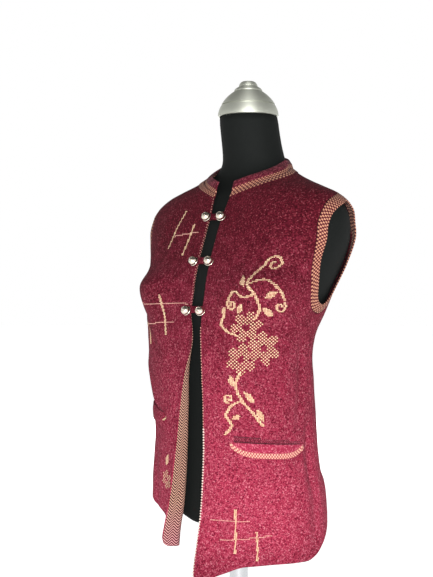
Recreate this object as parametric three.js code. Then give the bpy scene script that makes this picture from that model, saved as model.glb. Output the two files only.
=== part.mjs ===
// Sweater vest on a limbless dress form. Millimetres, +Z up, the wearer faces -Y, wearer's left +X.
import * as THREE from 'three';

// ---- driving dimensions -------------------------------------------------------------------
const FLOOR = 150;          // section heights are counted from a level this far above the base
const CLOTH = 2.2;          // wall of the knit
const GAP = 0.35;           // clearance left at every seam
const SEAM = 92;            // degrees round from the front, side and shoulder seams
const BEAD_R = 7.6;
const TRIM = 2;             // wall of the tabs and pocket flaps
const FACING = 0.9;         // wall of the facings inside the front edges
const ARC = 3.2;            // millimetres round the side for each degree, near enough
const CORNER = 14;          // radius of the turned front's free bottom corner
const NECK_TOP = 705.6;
const POLE_R = 16;
const BASE_R = 150;
const BASE_T = 10;

// ---- body sections: height, half width, depth to front, depth to back, centre y, fullness in
// front, fullness behind, centre x ----------------------------------------------------------
const BODY = [
  [-80, 149, 137, 97, 7, 2, 2.15, 1], [0, 148, 134, 96, 7, 2, 2.15, 1],
  [40, 147, 132, 94, 6, 2, 2.15, 1], [70, 144.5, 130, 92, 5, 2, 2.15, 1],
  [115, 137, 126, 85, 3, 2.05, 2.15, 0], [165, 130, 121, 78, 1, 2.05, 2.15, 0],
  [215, 126, 117, 74, -2, 2.1, 2.15, -1], [260, 128, 114, 73, -6, 2.15, 2.15, -3],
  [300, 133, 113, 72, -8, 2.2, 2.1, -5], [335, 141, 112, 78, -7, 2.2, 2.1, -5.5],
  [375, 153, 111, 91, -3, 2.2, 2.3, -1.5], [415, 163, 110, 100, 2, 2.25, 2.5, 1.5],
  [457, 174, 104, 104, 8, 2.25, 3, 4], [495, 184, 96, 99, 16, 2.25, 3, 4.5],
  [515, 187, 92, 90, 20, 2.25, 2.8, 4], [535, 187, 87, 82, 24, 2.2, 2.6, 4],
  [548, 183, 84, 76, 27, 2.15, 2.3, 4], [558, 175, 81, 72, 29, 2.05, 2.2, 4],
  [567, 163, 77, 69, 31, 2, 2.1, 4], [577, 140, 72, 65, 34, 2, 2.05, 4],
  [589, 112, 63, 61, 38, 1.9, 2, 3], [601, 87, 54, 58, 41, 2, 2, 2.5],
  [612, 69, 51, 55, 43, 2, 2, 2.5], [624, 57.5, 50.5, 53, 43, 2, 2, 2.5],
  [645, 52.3, 51, 52, 39, 2, 2, 2], [675, 50.8, 50.5, 50.5, 33, 2, 2, 1], [720, 50, 50, 50, 26, 2, 2, 0],
];
// looseness of the cloth over the body: height, front, side, back
const EASE = [
  [-80, 16, 11, 13], [-20, 12, 9, 11], [40, 10, 8, 8], [115, 12, 9, 8], [165, 15, 12, 11],
  [215, 17, 16, 14], [260, 17, 16, 13], [300, 15, 13, 10], [335, 12, 9.5, 7], [375, 7, 6, 5],
  [415, 4, 5, 4.5], [457, 4, 4, 4.5], [495, 4, 4, 5], [535, 4, 3.6, 4.5], [567, 3.6, 2.8, 3.4],
  [589, 3.4, 2.7, 3], [612, 4.4, 3.4, 3.4], [720, 4.4, 3.4, 3.4],
];
// hem height round the body: degrees from the front (left positive), height
const HEM = [
  [-270, 0], [-252, 27], [-240, 31], [-220, 33], [-180, 38], [-140, 48], [-105, 58], [-75, 62],
  [-58, 61], [-40, 53], [-27, 43], [-21, 24], [-16, 1], [5, 1], [8, -47], [14, -44], [24, -33],
  [38, -22], [60, -20], [76, -20], [84, -14], [92, 0], [108, 27], [120, 31], [140, 33], [180, 38],
  [220, 48], [255, 58], [285, 62],
];
// front edges: height, left edge x, right fold x, width turned out, turn in degrees
const EDGE = [
  [-60, 20, -32, 38, 99], [20, 20, -27.5, 38, 99], [70, 23, -19, 39, 98], [105, 25, -16, 38, 97],
  [172, 27, -13, 33, 96], [235, 27, -10.5, 28, 94], [279, 26, -9.5, 22, 88], [321, 21.5, -7, 13, 70],
  [350, 17, -8.5, 7, 30], [378, 14.5, -9.5, 0, 0], [420, 14.2, -9.5, 0, 0], [500, 14.5, -9.7, 0, 0],
  [531, 17, -9, 0, 0], [566, 20, -12.5, 0, 0], [620, 20, -12.5, 0, 0],
];
// armhole: seam angle, seam height, free edge angle, free edge height, lift of the free edge
const HOLE = [
  [92, 374, 92, 389, 3], [87.5, 375.5, 88.5, 390.5, 3], [82.5, 383, 85, 396, 3],
  [78.5, 402, 82.3, 409, 3], [75.5, 432, 80, 433, 3], [75, 462, 78.9, 461, 3],
  [74.4, 492, 79.2, 489, 3], [74.5, 520, 79, 513, 3], [79.5, 550, 82.5, 536, 2.6],
  [92, 567, 92, 552, 2.2], [99, 560, 96.5, 545, 2.4], [105, 545, 100.5, 534, 2.8],
  [110, 520, 104.5, 513, 3], [111.5, 492, 106, 489, 3], [110.5, 463, 105, 461, 3],
  [108, 433, 103, 433, 3], [104.5, 404, 100, 410, 3], [99, 383, 96, 396, 3],
];

// ---- small numeric helpers -----------------------------------------------------------------
const rad = Math.PI / 180;
const lerp = (a, b, t) => a + (b - a) * t;
const clamp = (t, a, b) => Math.min(b, Math.max(a, t));
const smooth = (t) => { const c = clamp(t, 0, 1); return c * c * (3 - 2 * c); };
const add = (p, n, k) => [p[0] + n[0] * k, p[1] + n[1] * k, p[2] + n[2] * k];
const sub = (a, b) => [a[0] - b[0], a[1] - b[1], a[2] - b[2]];
const cross = (a, b) => [a[1] * b[2] - a[2] * b[1], a[2] * b[0] - a[0] * b[2],
  a[0] * b[1] - a[1] * b[0]];
const apart = (a, b) => Math.hypot(...sub(a, b));
const unit = (a) => { const l = Math.hypot(...a) || 1; return [a[0] / l, a[1] / l, a[2] / l]; };

// smooth reading of a table whose first column rises
function read(table, key) {
  const n = table.length;
  let i = 0;
  while (i < n - 2 && key > table[i + 1][0]) i += 1;
  const k = clamp(key, table[0][0], table[n - 1][0]);
  const [p, q] = [table[i], table[i + 1]];
  const h = q[0] - p[0];
  const t = (k - p[0]) / h;
  const out = [];
  for (let c = 1; c < p.length; c += 1) {
    const d = (q[c] - p[c]) / h;
    const before = i > 0 ? (p[c] - table[i - 1][c]) / (p[0] - table[i - 1][0]) : d;
    const after = i < n - 2 ? (table[i + 2][c] - q[c]) / (table[i + 2][0] - q[0]) : d;
    const m0 = before * d > 0 ? (2 * before * d) / (before + d) : 0;
    const m1 = after * d > 0 ? (2 * after * d) / (after + d) : 0;
    out.push(p[c] * (2 * t ** 3 - 3 * t * t + 1) + m0 * h * (t ** 3 - 2 * t * t + t)
      + q[c] * (3 * t * t - 2 * t ** 3) + m1 * h * (t ** 3 - t * t));
  }
  return out;
}

// ---- the body and the cloth over it --------------------------------------------------------
function body(a, z) {
  const [w, f, b, cy, nFront, nBack, cx] = read(BODY, z);
  const s = Math.sin(a * rad);
  const c = Math.cos(a * rad);
  const n = c > 0 ? nFront : nBack;
  const r = ((Math.abs(s) / w) ** n + (Math.abs(c) / (c > 0 ? f : b)) ** n) ** (-1 / n);
  const wide = Math.abs(Math.abs(a > 180 ? a - 360 : a) - 47) / 21;
  const tall = z > 415 ? (z - 415) / 24 : (415 - z) / 46;
  const bust = 26 * Math.exp(-wide * wide - tall * tall);
  return [cx + (r + bust) * s, cy - (r + bust) * c, z];
}
function facingOut(surface, a, z) {
  const across = sub(surface(a + 0.5, z), surface(a - 0.5, z));
  const up = sub(surface(a, z + 0.5), surface(a, z - 0.5));
  return unit(cross(across, up));
}
function ease(a, z) {
  const [front, side, back] = read(EASE, z);
  const c = Math.cos(a * rad);
  const base = side + (c > 0 ? front - side : back - side) * Math.abs(c) ** 1.5;
  const loose = smooth((250 - z) / 250);
  const folds = Math.sin(a * rad * 5 + 0.6) + 0.6 * Math.sin(a * rad * 9 + 2 + z / 90);
  const near = Math.exp(-(((a - 14) / 15) ** 2));
  return base + 1.5 * loose * folds + 15 * near * smooth((60 - z) / 110);
}
function drape(a, z) { return add(body(a, z), facingOut(body, a, z), ease(a, z)); }
function lift(a, z, k) { return add(drape(a, z), facingOut(drape, a, z), k); }

// ---- rows of the panels: hem, then underarm, top of the armhole and neckline ---------------
const UNDERARM = 11;
const TIP = 23;
const ROWS = 27;
const UNDERARM_Z = 374;
const TIP_Z = 567;
const NECK_SIDE_Z = 611;
const halfHole = (front, k) => new THREE.CatmullRomCurve3(
  (front ? HOLE.slice(0, 10) : [HOLE[0], ...HOLE.slice(9).reverse()])
    .map((h) => new THREE.Vector3(h[k] * ARC, h[k + 1], k ? h[4] : 0)));
const HALVES = { seam: [halfHole(false, 0), halfHole(true, 0)],
  free: [halfHole(false, 2), halfHole(true, 2)] };
function holeAt(line, front, t) {     // t runs 0 at the underarm to 1 at the shoulder
  const p = HALVES[line][front ? 1 : 0].getPointAt(clamp(t, 0, 1));
  return [p.x / ARC, p.y, p.z];
}
function seamEdge(j, front) {         // angle and height on the side, armhole and shoulder line
  if (j <= UNDERARM) return [SEAM, UNDERARM_Z];
  if (j <= TIP) return holeAt('seam', front, (j - UNDERARM) / (TIP - UNDERARM));
  return [SEAM, lerp(TIP_Z, NECK_SIDE_Z, (j - TIP) / (ROWS - TIP))];
}
function rowAt(j, a, t, inner, outer) {  // height of row j, t from the inner edge to the outer
  const start = j >= UNDERARM ? inner : read(FRONT_ROWS, UNDERARM)[0];
  const mid = lerp(start, outer[1], clamp(t, 0, 1));
  return j >= UNDERARM ? mid : lerp(read(HEM, a)[0], mid, j / UNDERARM);
}
const FRONT_ROWS = [[0, 0], [UNDERARM, 352], [TIP, 528], [ROWS, 566]];   // height at the front edge
const BACK_ROWS = [[0, 0], [UNDERARM, UNDERARM_Z], [17, 470], [TIP, 572], [ROWS, 619]];

const edgeHeight = (side, j) => (j >= UNDERARM ? read(FRONT_ROWS, j)[0]
  : lerp(read(HEM, side > 0 ? 9 : -2)[0], read(FRONT_ROWS, UNDERARM)[0], j / UNDERARM));

// angle round the body of a place x across the front
function angleAt(x, z) {
  const [, f, , , , , cx] = read(BODY, z);
  return Math.atan2(x - cx, f + ease(0, z)) / rad;
}

// point and outward direction on a front; p is the distance in from the free edge
function frontPoint(side, j, p) {
  const inner = read(FRONT_ROWS, j)[0];
  const outer = seamEdge(j, true);
  const zEdge = edgeHeight(side, j);
  const [left, fold, wide, turn] = read(EDGE, zEdge);
  const x0 = side > 0 ? left : fold;
  const q = side > 0 ? 0 : wide;
  const a0 = angleAt(x0, zEdge);
  const s = p - q;
  if (s >= 0) {
    const reach = spanOf(j, outer[0], Math.abs(a0));
    const a = lerp(a0, side * (outer[0] - GAP / ARC / 2), s / reach);
    const z = rowAt(j, a, s / reach, inner, outer);
    return { p: drape(a, z), n: facingOut(drape, a, z), a, z };
  }
  const rise = p < CORNER ? CORNER - Math.sqrt(CORNER ** 2 - (CORNER - p) ** 2) : 0;
  const z = rowAt(j, a0, 0, inner, outer) + rise * clamp(1 - j, 0, 1);
  const n = facingOut(drape, a0, z);
  const along = unit(cross(n, unit(sub(drape(a0, z + 1), drape(a0, z)))));
  const toFree = along[0] * side < 0 ? along : add([0, 0, 0], along, -1);
  let at = drape(a0, z);
  let angle = 0;
  const steps = 8;
  for (let k = 0; k < steps; k += 1) {
    angle = turn * smooth(((k + 0.5) / steps) * -s / 16) * rad;
    at = add(add(at, toFree, Math.cos(angle) * -s / steps), n, Math.sin(angle) * -s / steps);
  }
  angle = turn * smooth(-s / 16) * rad;
  const out = unit(add(add([0, 0, 0], n, Math.cos(angle)), toFree, -Math.sin(angle)));
  return { p: at, n: out };
}
function spanOf(j, aOut, aIn) {       // rough width of a front at a row
  const z = j <= UNDERARM ? lerp(0, UNDERARM_Z, j / UNDERARM)
    : lerp(UNDERARM_Z, NECK_SIDE_Z, (j - UNDERARM) / (ROWS - UNDERARM));
  const [w, f] = read(BODY, z);
  return ((w + f) / 2) * (aOut - aIn) * rad;
}
function frontWidth(side, j) {
  const inner = read(FRONT_ROWS, j)[0];
  const zEdge = edgeHeight(side, j);
  const [left, fold, wide] = read(EDGE, zEdge);
  const a0 = Math.abs(angleAt(side > 0 ? left : fold, zEdge));
  return (side > 0 ? 0 : wide) + spanOf(j, seamEdge(j, true)[0], a0);
}
function backPoint(j, t) {            // t runs -1 at the left seam to 1 at the right seam
  const outer = seamEdge(j, false);
  const edge = outer[0] + GAP / ARC / 2;
  const a = lerp(edge, 360 - edge, (t + 1) / 2);
  const round = smooth(1 - Math.abs(t));
  const mid = lerp(outer[1], read(BACK_ROWS, j)[0], round);
  const z = j >= UNDERARM ? mid : lerp(read(HEM, a)[0], UNDERARM_Z, j / UNDERARM);
  return { p: drape(a, z), n: facingOut(drape, a, z), a, z };
}

// ---- solids --------------------------------------------------------------------------------
const group = new THREE.Group();
function put(name, geometry, colour) {
  const paint = new THREE.MeshStandardMaterial({ color: colour, roughness: 0.8 });
  const mesh = new THREE.Mesh(geometry, paint);
  mesh.name = name;
  mesh.position.z = FLOOR;
  group.add(mesh);
}
function fromFaces(points, faces) {
  const g = new THREE.BufferGeometry();
  g.setAttribute('position', new THREE.Float32BufferAttribute(points.flat(), 3));
  g.setIndex(faces);
  g.computeVertexNormals();
  return g;
}
// a cloth sheet from rows of {p, n}: outer face at lift k, inner face one wall further in
function sheet(rows, k = 0, wall = CLOTH, ring = false) {
  const m = rows.length;
  const w = rows[0].length;
  const points = [];
  rows.forEach((r) => r.forEach((c) => points.push(add(c.p, c.n, k))));
  rows.forEach((r) => r.forEach((c) => points.push(add(c.p, c.n, k - wall))));
  const faces = [];
  const quad = (a, b, c, d, other) => faces.push(...(other ? [a, b, d, b, c, d] : [a, b, c, a, c, d]));
  const id = (i, j, s) => s * m * w + (j % m) * w + i;
  const last = ring ? m : m - 1;
  for (let j = 0; j < last; j += 1) {
    const next = rows[(j + 1) % m];
    for (let i = 0; i < w - 1; i += 1) {     // each cell is split along its shorter diagonal
      const other = apart(rows[j][i + 1].p, next[i].p) < apart(rows[j][i].p, next[i + 1].p);
      quad(id(i, j, 0), id(i + 1, j, 0), id(i + 1, j + 1, 0), id(i, j + 1, 0), other);
      quad(id(i, j, 1), id(i, j + 1, 1), id(i + 1, j + 1, 1), id(i + 1, j, 1), other);
    }
    quad(id(0, j, 1), id(0, j, 0), id(0, j + 1, 0), id(0, j + 1, 1));
    quad(id(w - 1, j, 0), id(w - 1, j, 1), id(w - 1, j + 1, 1), id(w - 1, j + 1, 0));
  }
  if (!ring) {
    for (let i = 0; i < w - 1; i += 1) {
      quad(id(i, 0, 1), id(i + 1, 0, 1), id(i + 1, 0, 0), id(i, 0, 0));
      quad(id(i, m - 1, 0), id(i + 1, m - 1, 0), id(i + 1, m - 1, 1), id(i, m - 1, 1));
    }
  }
  return fromFaces(points, faces);
}
const grid = (rows, cols, at) => Array.from({ length: rows + 1 }, (_, j) =>
  Array.from({ length: cols + 1 }, (_, i) => at(j / rows, i / cols)));

const STEPS = [0, 1.2, 6, 12, 20, 29, 38];  // first columns in from a front edge, shared with its facing
const COLUMNS = 19;
const BACK_COLUMNS = 26;
const WINE = 0x7d2038;
const GOLD = 0xc9956a;
const BLACK = 0x262b28;
const SILVER = 0xb9bcbc;

// fronts, back
for (const side of [1, -1]) {
  const name = side > 0 ? 'left' : 'right';
  put(`front_${name}`, sheet(grid(ROWS, COLUMNS, (v, u) => {
    const c = Math.round((side > 0 ? u : 1 - u) * COLUMNS);
    const far = lerp(STEPS[6], frontWidth(side, v * ROWS), (c - 6) / (COLUMNS - 6));
    return frontPoint(side, v * ROWS, c < 7 ? STEPS[c] : far);
  })), WINE);
  put(`facing_${name}`, sheet(grid(TIP, 5, (v, u) => {
    const c = Math.round((side > 0 ? u : 1 - u) * 5);
    return frontPoint(side, v * TIP, STEPS[c + 1]);
  }), -CLOTH - GAP, FACING), GOLD);
}
put('back', sheet(grid(ROWS, BACK_COLUMNS, (v, u) => backPoint(v * ROWS, u * 2 - 1))), WINE);

// armhole bands, closed rings from the seam to the free edge, on the rows of the panels
for (const side of [1, -1]) {
  const rows = [];
  const half = TIP - UNDERARM;
  for (let k = 0; k < 2 * half; k += 1) {
    const front = k <= half;
    const t = front ? k / half : (2 * half - k) / half;
    const a = holeAt('seam', front, t);
    const b = holeAt('free', front, t);
    const row = [0.03, 0.5, 1].map((e) => {
      const [ang, z] = [side * lerp(a[0], b[0], e), lerp(a[1], b[1], e)];
      return { p: lift(ang, z, b[2] * e * e), n: facingOut(drape, ang, z) };
    });
    rows.push(side > 0 ? row : row.reverse());
  }
  put(`armhole_band_${side > 0 ? 'left' : 'right'}`, sheet(rows, 0, CLOTH, true), GOLD);
}

// stand collar on the columns of the neckline, leaning in towards the neck
function collarPoint(v, a, zFoot) {
  const turn = Math.abs(a > 180 ? a - 360 : a);
  const back = smooth((turn - SEAM) / (180 - SEAM));
  const side = smooth((turn - 12) / (SEAM - 12));
  const high = turn < SEAM ? lerp(591, 630, (turn - 12) / (SEAM - 12)) : lerp(630, 645, back);
  const reach = turn < SEAM ? lerp(79, 61, side) : lerp(61, 57.5, back);
  const foot = drape(a, zFoot + 0.5);
  const [, , , cy, , , cx] = read(BODY, high);
  const top = [cx + Math.sin(a * rad) * reach, cy - Math.cos(a * rad) * reach, high];
  const p = [0, 1, 2].map((i) => lerp(foot[i], top[i], v));
  return add(p, [Math.sin(a * rad), -Math.cos(a * rad), 0.4], 1.6 * Math.sin(v * Math.PI));
}
const neckline = [];
for (const side of [1, -1]) {
  const part = [];
  for (let c = 0; c < COLUMNS; c += 1) {
    const far = lerp(STEPS[6], frontWidth(side, ROWS), (c - 6) / (COLUMNS - 6));
    const { a, z } = frontPoint(side, ROWS, c < 7 ? STEPS[c] : far);
    part.push([side > 0 ? a : 360 + a, z]);
  }
  if (side > 0) {
    neckline.push(...part);
    for (let c = 0; c <= BACK_COLUMNS; c += 1) {
      const { a, z } = backPoint(ROWS, (2 * c) / BACK_COLUMNS - 1);
      neckline.push([a, z]);
    }
  } else neckline.push(...part.reverse());
}
put('collar', sheet(grid(3, neckline.length - 1, (v, u) => {
  const [a, z] = neckline[Math.round(u * (neckline.length - 1))];
  const up = sub(collarPoint(Math.min(1, v + 0.1), a, z), collarPoint(Math.max(0, v - 0.1), a, z));
  const across = sub(collarPoint(v, a + 1, z), collarPoint(v, a - 1, z));
  return { p: collarPoint(v, a, z), n: unit(cross(across, up)) };
})), WINE);

// pocket flaps, laid on the fronts
const FLAPS = [['left', 30, 80, 172, 163], ['right', -27, -80, 211, 228]];
for (const [name, from, to, zFrom, zTo] of FLAPS) {
  put(`pocket_flap_${name}`, sheet(grid(4, 14, (v, u) => {
    const t = name === 'left' ? u : 1 - u;
    const drop = 24 * (1 - Math.abs(2 * t - 1) ** 4 * 0.65);
    const [a, z] = [lerp(from, to, t), lerp(zFrom, zTo, t) - drop * (1 - v)];
    return { p: drape(a, z), n: facingOut(drape, a, z) };
  }), 2 * GAP + TRIM, TRIM), WINE);
}

// straps across the opening, with a bead near each end: height, left bead x, right bead x
const PAIRS = [[524, 21.5, -8.6], [452.3, 19.4, -12], [374.3, 18.2, -11.6]];
PAIRS.forEach(([z, left, right], k) => {
  put(`strap_${k + 1}`, sheet(grid(2, 8, (v, u) => {
    const h = lerp(-2.5, 8.5, v);
    const a = angleAt(lerp(right - 4, left + 4, u), z);
    return { p: drape(a, z + h), n: facingOut(drape, a, z + h) };
  }), GAP + TRIM, TRIM), WINE);
  for (const [name, x] of [['left', left], ['right', right]]) {
    const ball = new THREE.IcosahedronGeometry(BEAD_R, 2);
    ball.translate(...lift(angleAt(x, z), z, GAP + TRIM + GAP + BEAD_R));
    put(`bead_${name}_${k + 1}`, ball, SILVER);
  }
});

// torso with neck: rings from the shaped lower edge to the neck top, both ends closed
const lowEdge = (a) => 33 + 45 * (1 - Math.exp((15 - Math.hypot(body(a, 40)[0] - 10, 15)) / 95))
  + 12 * smooth(-Math.cos(a * rad));
const RINGS = [0, 6, 50, 95, 140, 185, 235, 280, 320, 350, 375, 395, 411, 427, 443, 460, 478, 496,
  512, 526, 538, 547, 554, 560, 566, 572, 578, 585, 592, 599, 606, 613, 621, 632, 650, 680, NECK_TOP];
const AROUND = 52;
const torso = [];
const skins = [];
RINGS.forEach((level, k) => {
  for (let i = 0; i < AROUND; i += 1) {
    const a = (i / AROUND) * 360;
    const low = lowEdge(a);
    const z = k < 7 ? lerp(low, 235, level / 235) : level;
    const tuck = k === 0 ? 7 : k === 1 ? 1.5 : 0;
    const hug = 2 * smooth((z - 520) / 25) * smooth((612 - z) / 15);
    torso.push(add(body(a, z), facingOut(body, a, z), -tuck - hug));
  }
});
const ringCount = RINGS.length;
for (let k = 0; k < ringCount - 1; k += 1) {
  for (let i = 0; i < AROUND; i += 1) {
    const [a, b] = [k * AROUND + i, k * AROUND + ((i + 1) % AROUND)];
    skins.push(a, b, b + AROUND, a, b + AROUND, a + AROUND);
  }
}
const seat = torso.length;             // flat seat for the pole inside the lower edge
for (let i = 0; i < AROUND; i += 1) {
  const a = (i / AROUND) * 360 * rad;
  torso.push([Math.sin(a) * 24, -Math.cos(a) * 24, 42]);
}
const under = torso.push([0, 0, 42]) - 1;
const over = torso.push([0, 26.8, NECK_TOP]) - 1;
for (let i = 0; i < AROUND; i += 1) {
  const j = (i + 1) % AROUND;
  skins.push(seat + i, seat + j, j, seat + i, j, i);
  skins.push(under, seat + j, seat + i);
  skins.push(over, (ringCount - 1) * AROUND + i, (ringCount - 1) * AROUND + j);
}
put('form_torso', fromFaces(torso, skins), BLACK);

// turned parts of the display
function turned(name, profile, colour, segments, y = 0) {
  const g = new THREE.LatheGeometry(profile.map(([r, z]) => new THREE.Vector2(r, z)), segments);
  g.rotateX(Math.PI / 2);
  g.translate(0, y, 0);
  put(name, g, colour);
}
turned('neck_cap', [[0, 706], [51.7, 706], [51.9, 707], [51.9, 714], [50.8, 717], [49.4, 721],
  [47, 724.5], [46.8, 727], [43.8, 732.5], [39, 738.5], [33, 743.5], [28, 746.5], [25, 748],
  [26.6, 751], [26, 753.6], [18.5, 755], [16.6, 757.5], [15.4, 762], [12, 765], [7, 766.4], [0, 766.8]],
SILVER, 36, 28);
turned('pole', [[0, BASE_T - FLOOR + 0.3], [POLE_R, BASE_T - FLOOR + 0.3], [POLE_R, 41.6],
  [0, 41.6]], SILVER, 24);
turned('base', [[0, -FLOOR], [BASE_R - 2, -FLOOR], [BASE_R, 2 - FLOOR],
  [BASE_R, BASE_T - 3 - FLOOR], [BASE_R - 3, BASE_T - FLOOR], [0, BASE_T - FLOOR]], BLACK, 48);

// the base's underside is on the ground and the whole is centred over the origin
const whole = new THREE.Box3().setFromObject(group);
for (const mesh of group.children) {
  mesh.position.x -= (whole.min.x + whole.max.x) / 2;
  mesh.position.y -= (whole.min.y + whole.max.y) / 2;
}

export default group;
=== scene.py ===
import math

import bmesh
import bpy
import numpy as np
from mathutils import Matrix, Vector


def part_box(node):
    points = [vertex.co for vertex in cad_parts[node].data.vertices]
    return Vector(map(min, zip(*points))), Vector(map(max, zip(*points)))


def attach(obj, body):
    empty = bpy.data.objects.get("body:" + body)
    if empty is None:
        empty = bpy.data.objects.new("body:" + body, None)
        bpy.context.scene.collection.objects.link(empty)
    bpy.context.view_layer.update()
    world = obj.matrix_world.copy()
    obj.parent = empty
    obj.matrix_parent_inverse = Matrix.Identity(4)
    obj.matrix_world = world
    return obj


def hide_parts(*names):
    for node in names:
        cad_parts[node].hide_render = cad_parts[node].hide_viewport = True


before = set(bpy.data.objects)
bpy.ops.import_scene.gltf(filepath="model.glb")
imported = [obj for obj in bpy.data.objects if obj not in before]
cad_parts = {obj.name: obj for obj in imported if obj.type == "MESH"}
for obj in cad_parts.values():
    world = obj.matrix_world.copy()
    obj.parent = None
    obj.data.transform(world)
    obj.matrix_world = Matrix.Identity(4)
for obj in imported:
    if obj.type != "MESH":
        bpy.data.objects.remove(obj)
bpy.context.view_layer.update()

# %% [markdown]
# # A knitted vest on a dress form
#
# The object is a sleeveless knitted vest, cut to hang open down the front. It has a low stand
# collar, banded armholes, two pocket flaps and three cloth tabs that carry a pair of metal beads
# each. It hangs on a limbless dress form with a silver neck cap, a steel pole and a round base.
#
# The frame that was just loaded holds the plain solids. This script dresses them: the cloth is made
# again as fine sheets on the same form, and the hard pieces get their real edges and finish. Three
# numbers from the frame fix the place of everything: the pole's middle, two ways, and the level
# that heights count from, which the top of the neck cap gives.

MM = 0.001
RAD = math.pi / 180
pole_low, pole_high = (Vector(corner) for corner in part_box("pole"))
AXIS = (pole_low + pole_high) / 2          # the pole's own line, which sections are set out from
CAP_HEIGHT = 0.7668                        # top of the neck cap above the level of height 0
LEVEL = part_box("neck_cap")[1][2] - CAP_HEIGHT
scene = bpy.context.scene
print("pole line", [round(v, 4) for v in AXIS], "section level", round(LEVEL, 4))


def placed(points):
    """Points in millimetres from the pole's line and the section level, as metres in the frame."""
    return np.asarray(points, float) * MM + np.array([AXIS.x, AXIS.y, LEVEL])


def deselect():
    """Leaves nothing selected, so that an operator can't reach what it shouldn't."""
    for thing in bpy.context.selected_objects:
        thing.select_set(False)


def use(thing):
    """Makes one object the only selected and the active one, which operators then work on."""
    deselect()
    thing.select_set(True)
    bpy.context.view_layer.objects.active = thing


def apply_modifier(thing, kind, **settings):
    """Adds a modifier and turns its result into the mesh itself."""
    use(thing)
    modifier = thing.modifiers.new(kind.lower(), kind)
    for name, value in settings.items():
        setattr(modifier, name, value)
    bpy.ops.object.modifier_apply(modifier=modifier.name)


# %% [markdown]
# ## The camera
#
# The vest is seen from its left front at chest height, from under two metres away, so the near
# front looks larger than the far one. The camera is made first, because it says what will show.

# %% Camera
VIEW_SIDE = 35.4            # degrees round from straight in front
VIEW_DISTANCE = 1.783
VIEW_HEIGHT = 0.565
AIM_HEIGHT = 0.562
AIM_LEFT = 1.21             # degrees that the view turns left, so the vest is right of the middle
LONG_SIDE = 577             # pixels up the render
FOCAL_PIXELS = 1053         # focal length in the same pixels
SENSOR = 36                 # millimetres


def make_camera():
    """A camera of fixed focal length that looks at the pole's line, then turns a little left."""
    data = bpy.data.cameras.new("camera")
    camera = bpy.data.objects.new("camera", data)
    scene.collection.objects.link(camera)
    away = Vector((math.sin(VIEW_SIDE * RAD), -math.cos(VIEW_SIDE * RAD), 0))
    camera.location = Vector((AXIS.x, AXIS.y, VIEW_HEIGHT)) + away * VIEW_DISTANCE
    line = Vector((AXIS.x, AXIS.y, AIM_HEIGHT)) - camera.location
    line = Matrix.Rotation(AIM_LEFT * RAD, 3, "Z") @ line
    camera.rotation_euler = line.to_track_quat("-Z", "Y").to_euler()
    data.sensor_width = SENSOR
    data.lens = FOCAL_PIXELS * SENSOR / LONG_SIDE
    scene.camera = camera


make_camera()
print("camera at", [round(v, 3) for v in scene.camera.location])

# %% [markdown]
# ## The form, as sections
#
# A dress form is drafted from its girths. Each row of the first table is one level section: half
# the width, the depth to the front and to the back, how far its middle lies behind the pole, how
# square it is in front and behind, and how far it leans sideways. The second says how loosely the
# knit hangs off it. The third is the hem, which dips at the left front corner and rises on the
# right.

# %% Sections of the body, ease of the cloth, hem and front edges
BODY = [  # height, half width, to front, to back, middle y, squareness front, back, middle x
    [-80, 149, 137, 97, 7, 2, 2.15, 1], [0, 148, 134, 96, 7, 2, 2.15, 1],
    [40, 147, 132, 94, 6, 2, 2.15, 1], [70, 144.5, 130, 92, 5, 2, 2.15, 1],
    [115, 137, 126, 85, 3, 2.05, 2.15, 0], [165, 130, 121, 78, 1, 2.05, 2.15, 0],
    [215, 126, 117, 74, -2, 2.1, 2.15, -1], [260, 128, 114, 73, -6, 2.15, 2.15, -3],
    [300, 133, 113, 72, -8, 2.2, 2.1, -5], [335, 141, 112, 78, -7, 2.2, 2.1, -5.5],
    [375, 153, 111, 91, -3, 2.2, 2.3, -1.5], [415, 163, 110, 100, 2, 2.25, 2.5, 1.5],
    [457, 174, 104, 104, 8, 2.25, 3, 4], [495, 184, 96, 99, 16, 2.25, 3, 4.5],
    [515, 187, 92, 90, 20, 2.25, 2.8, 4], [535, 187, 87, 82, 24, 2.2, 2.6, 4],
    [548, 183, 84, 76, 27, 2.15, 2.3, 4], [558, 175, 81, 72, 29, 2.05, 2.2, 4],
    [567, 163, 77, 69, 31, 2, 2.1, 4], [577, 140, 72, 65, 34, 2, 2.05, 4],
    [589, 112, 63, 61, 38, 1.9, 2, 3], [601, 87, 54, 58, 41, 2, 2, 2.5],
    [612, 69, 51, 55, 43, 2, 2, 2.5], [624, 57.5, 50.5, 53, 43, 2, 2, 2.5],
    [645, 52.3, 51, 52, 39, 2, 2, 2], [675, 50.8, 50.5, 50.5, 33, 2, 2, 1],
    [720, 50, 50, 50, 26, 2, 2, 0],
]
EASE = [  # height, then the looseness in front, at the side and behind
    [-80, 16, 11, 13], [-20, 12, 9, 11], [40, 10, 8, 8], [115, 12, 9, 8], [165, 15, 12, 11],
    [215, 17, 16, 14], [260, 17, 16, 13], [300, 15, 13, 10], [335, 12, 9.5, 7], [375, 7, 6, 5],
    [415, 4, 5, 4.5], [457, 4, 4, 4.5], [495, 4, 4, 5], [535, 4, 3.6, 4.5], [567, 3.6, 2.8, 3.4],
    [589, 3.4, 2.7, 3], [612, 4.4, 3.4, 3.4], [720, 4.4, 3.4, 3.4],
]
HEM = [  # degrees round from the middle of the front (left positive), height
    [-270, 0], [-252, 27], [-240, 31], [-220, 33], [-180, 38], [-140, 48], [-105, 58], [-75, 62],
    [-58, 61], [-40, 53], [-27, 43], [-21, 24], [-16, 1], [5, 1], [8, -47], [14, -44], [24, -33],
    [38, -22], [60, -20], [76, -20], [84, -14], [92, 0], [108, 27], [120, 31], [140, 33],
    [180, 38], [220, 48], [255, 58], [285, 62],
]
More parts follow.
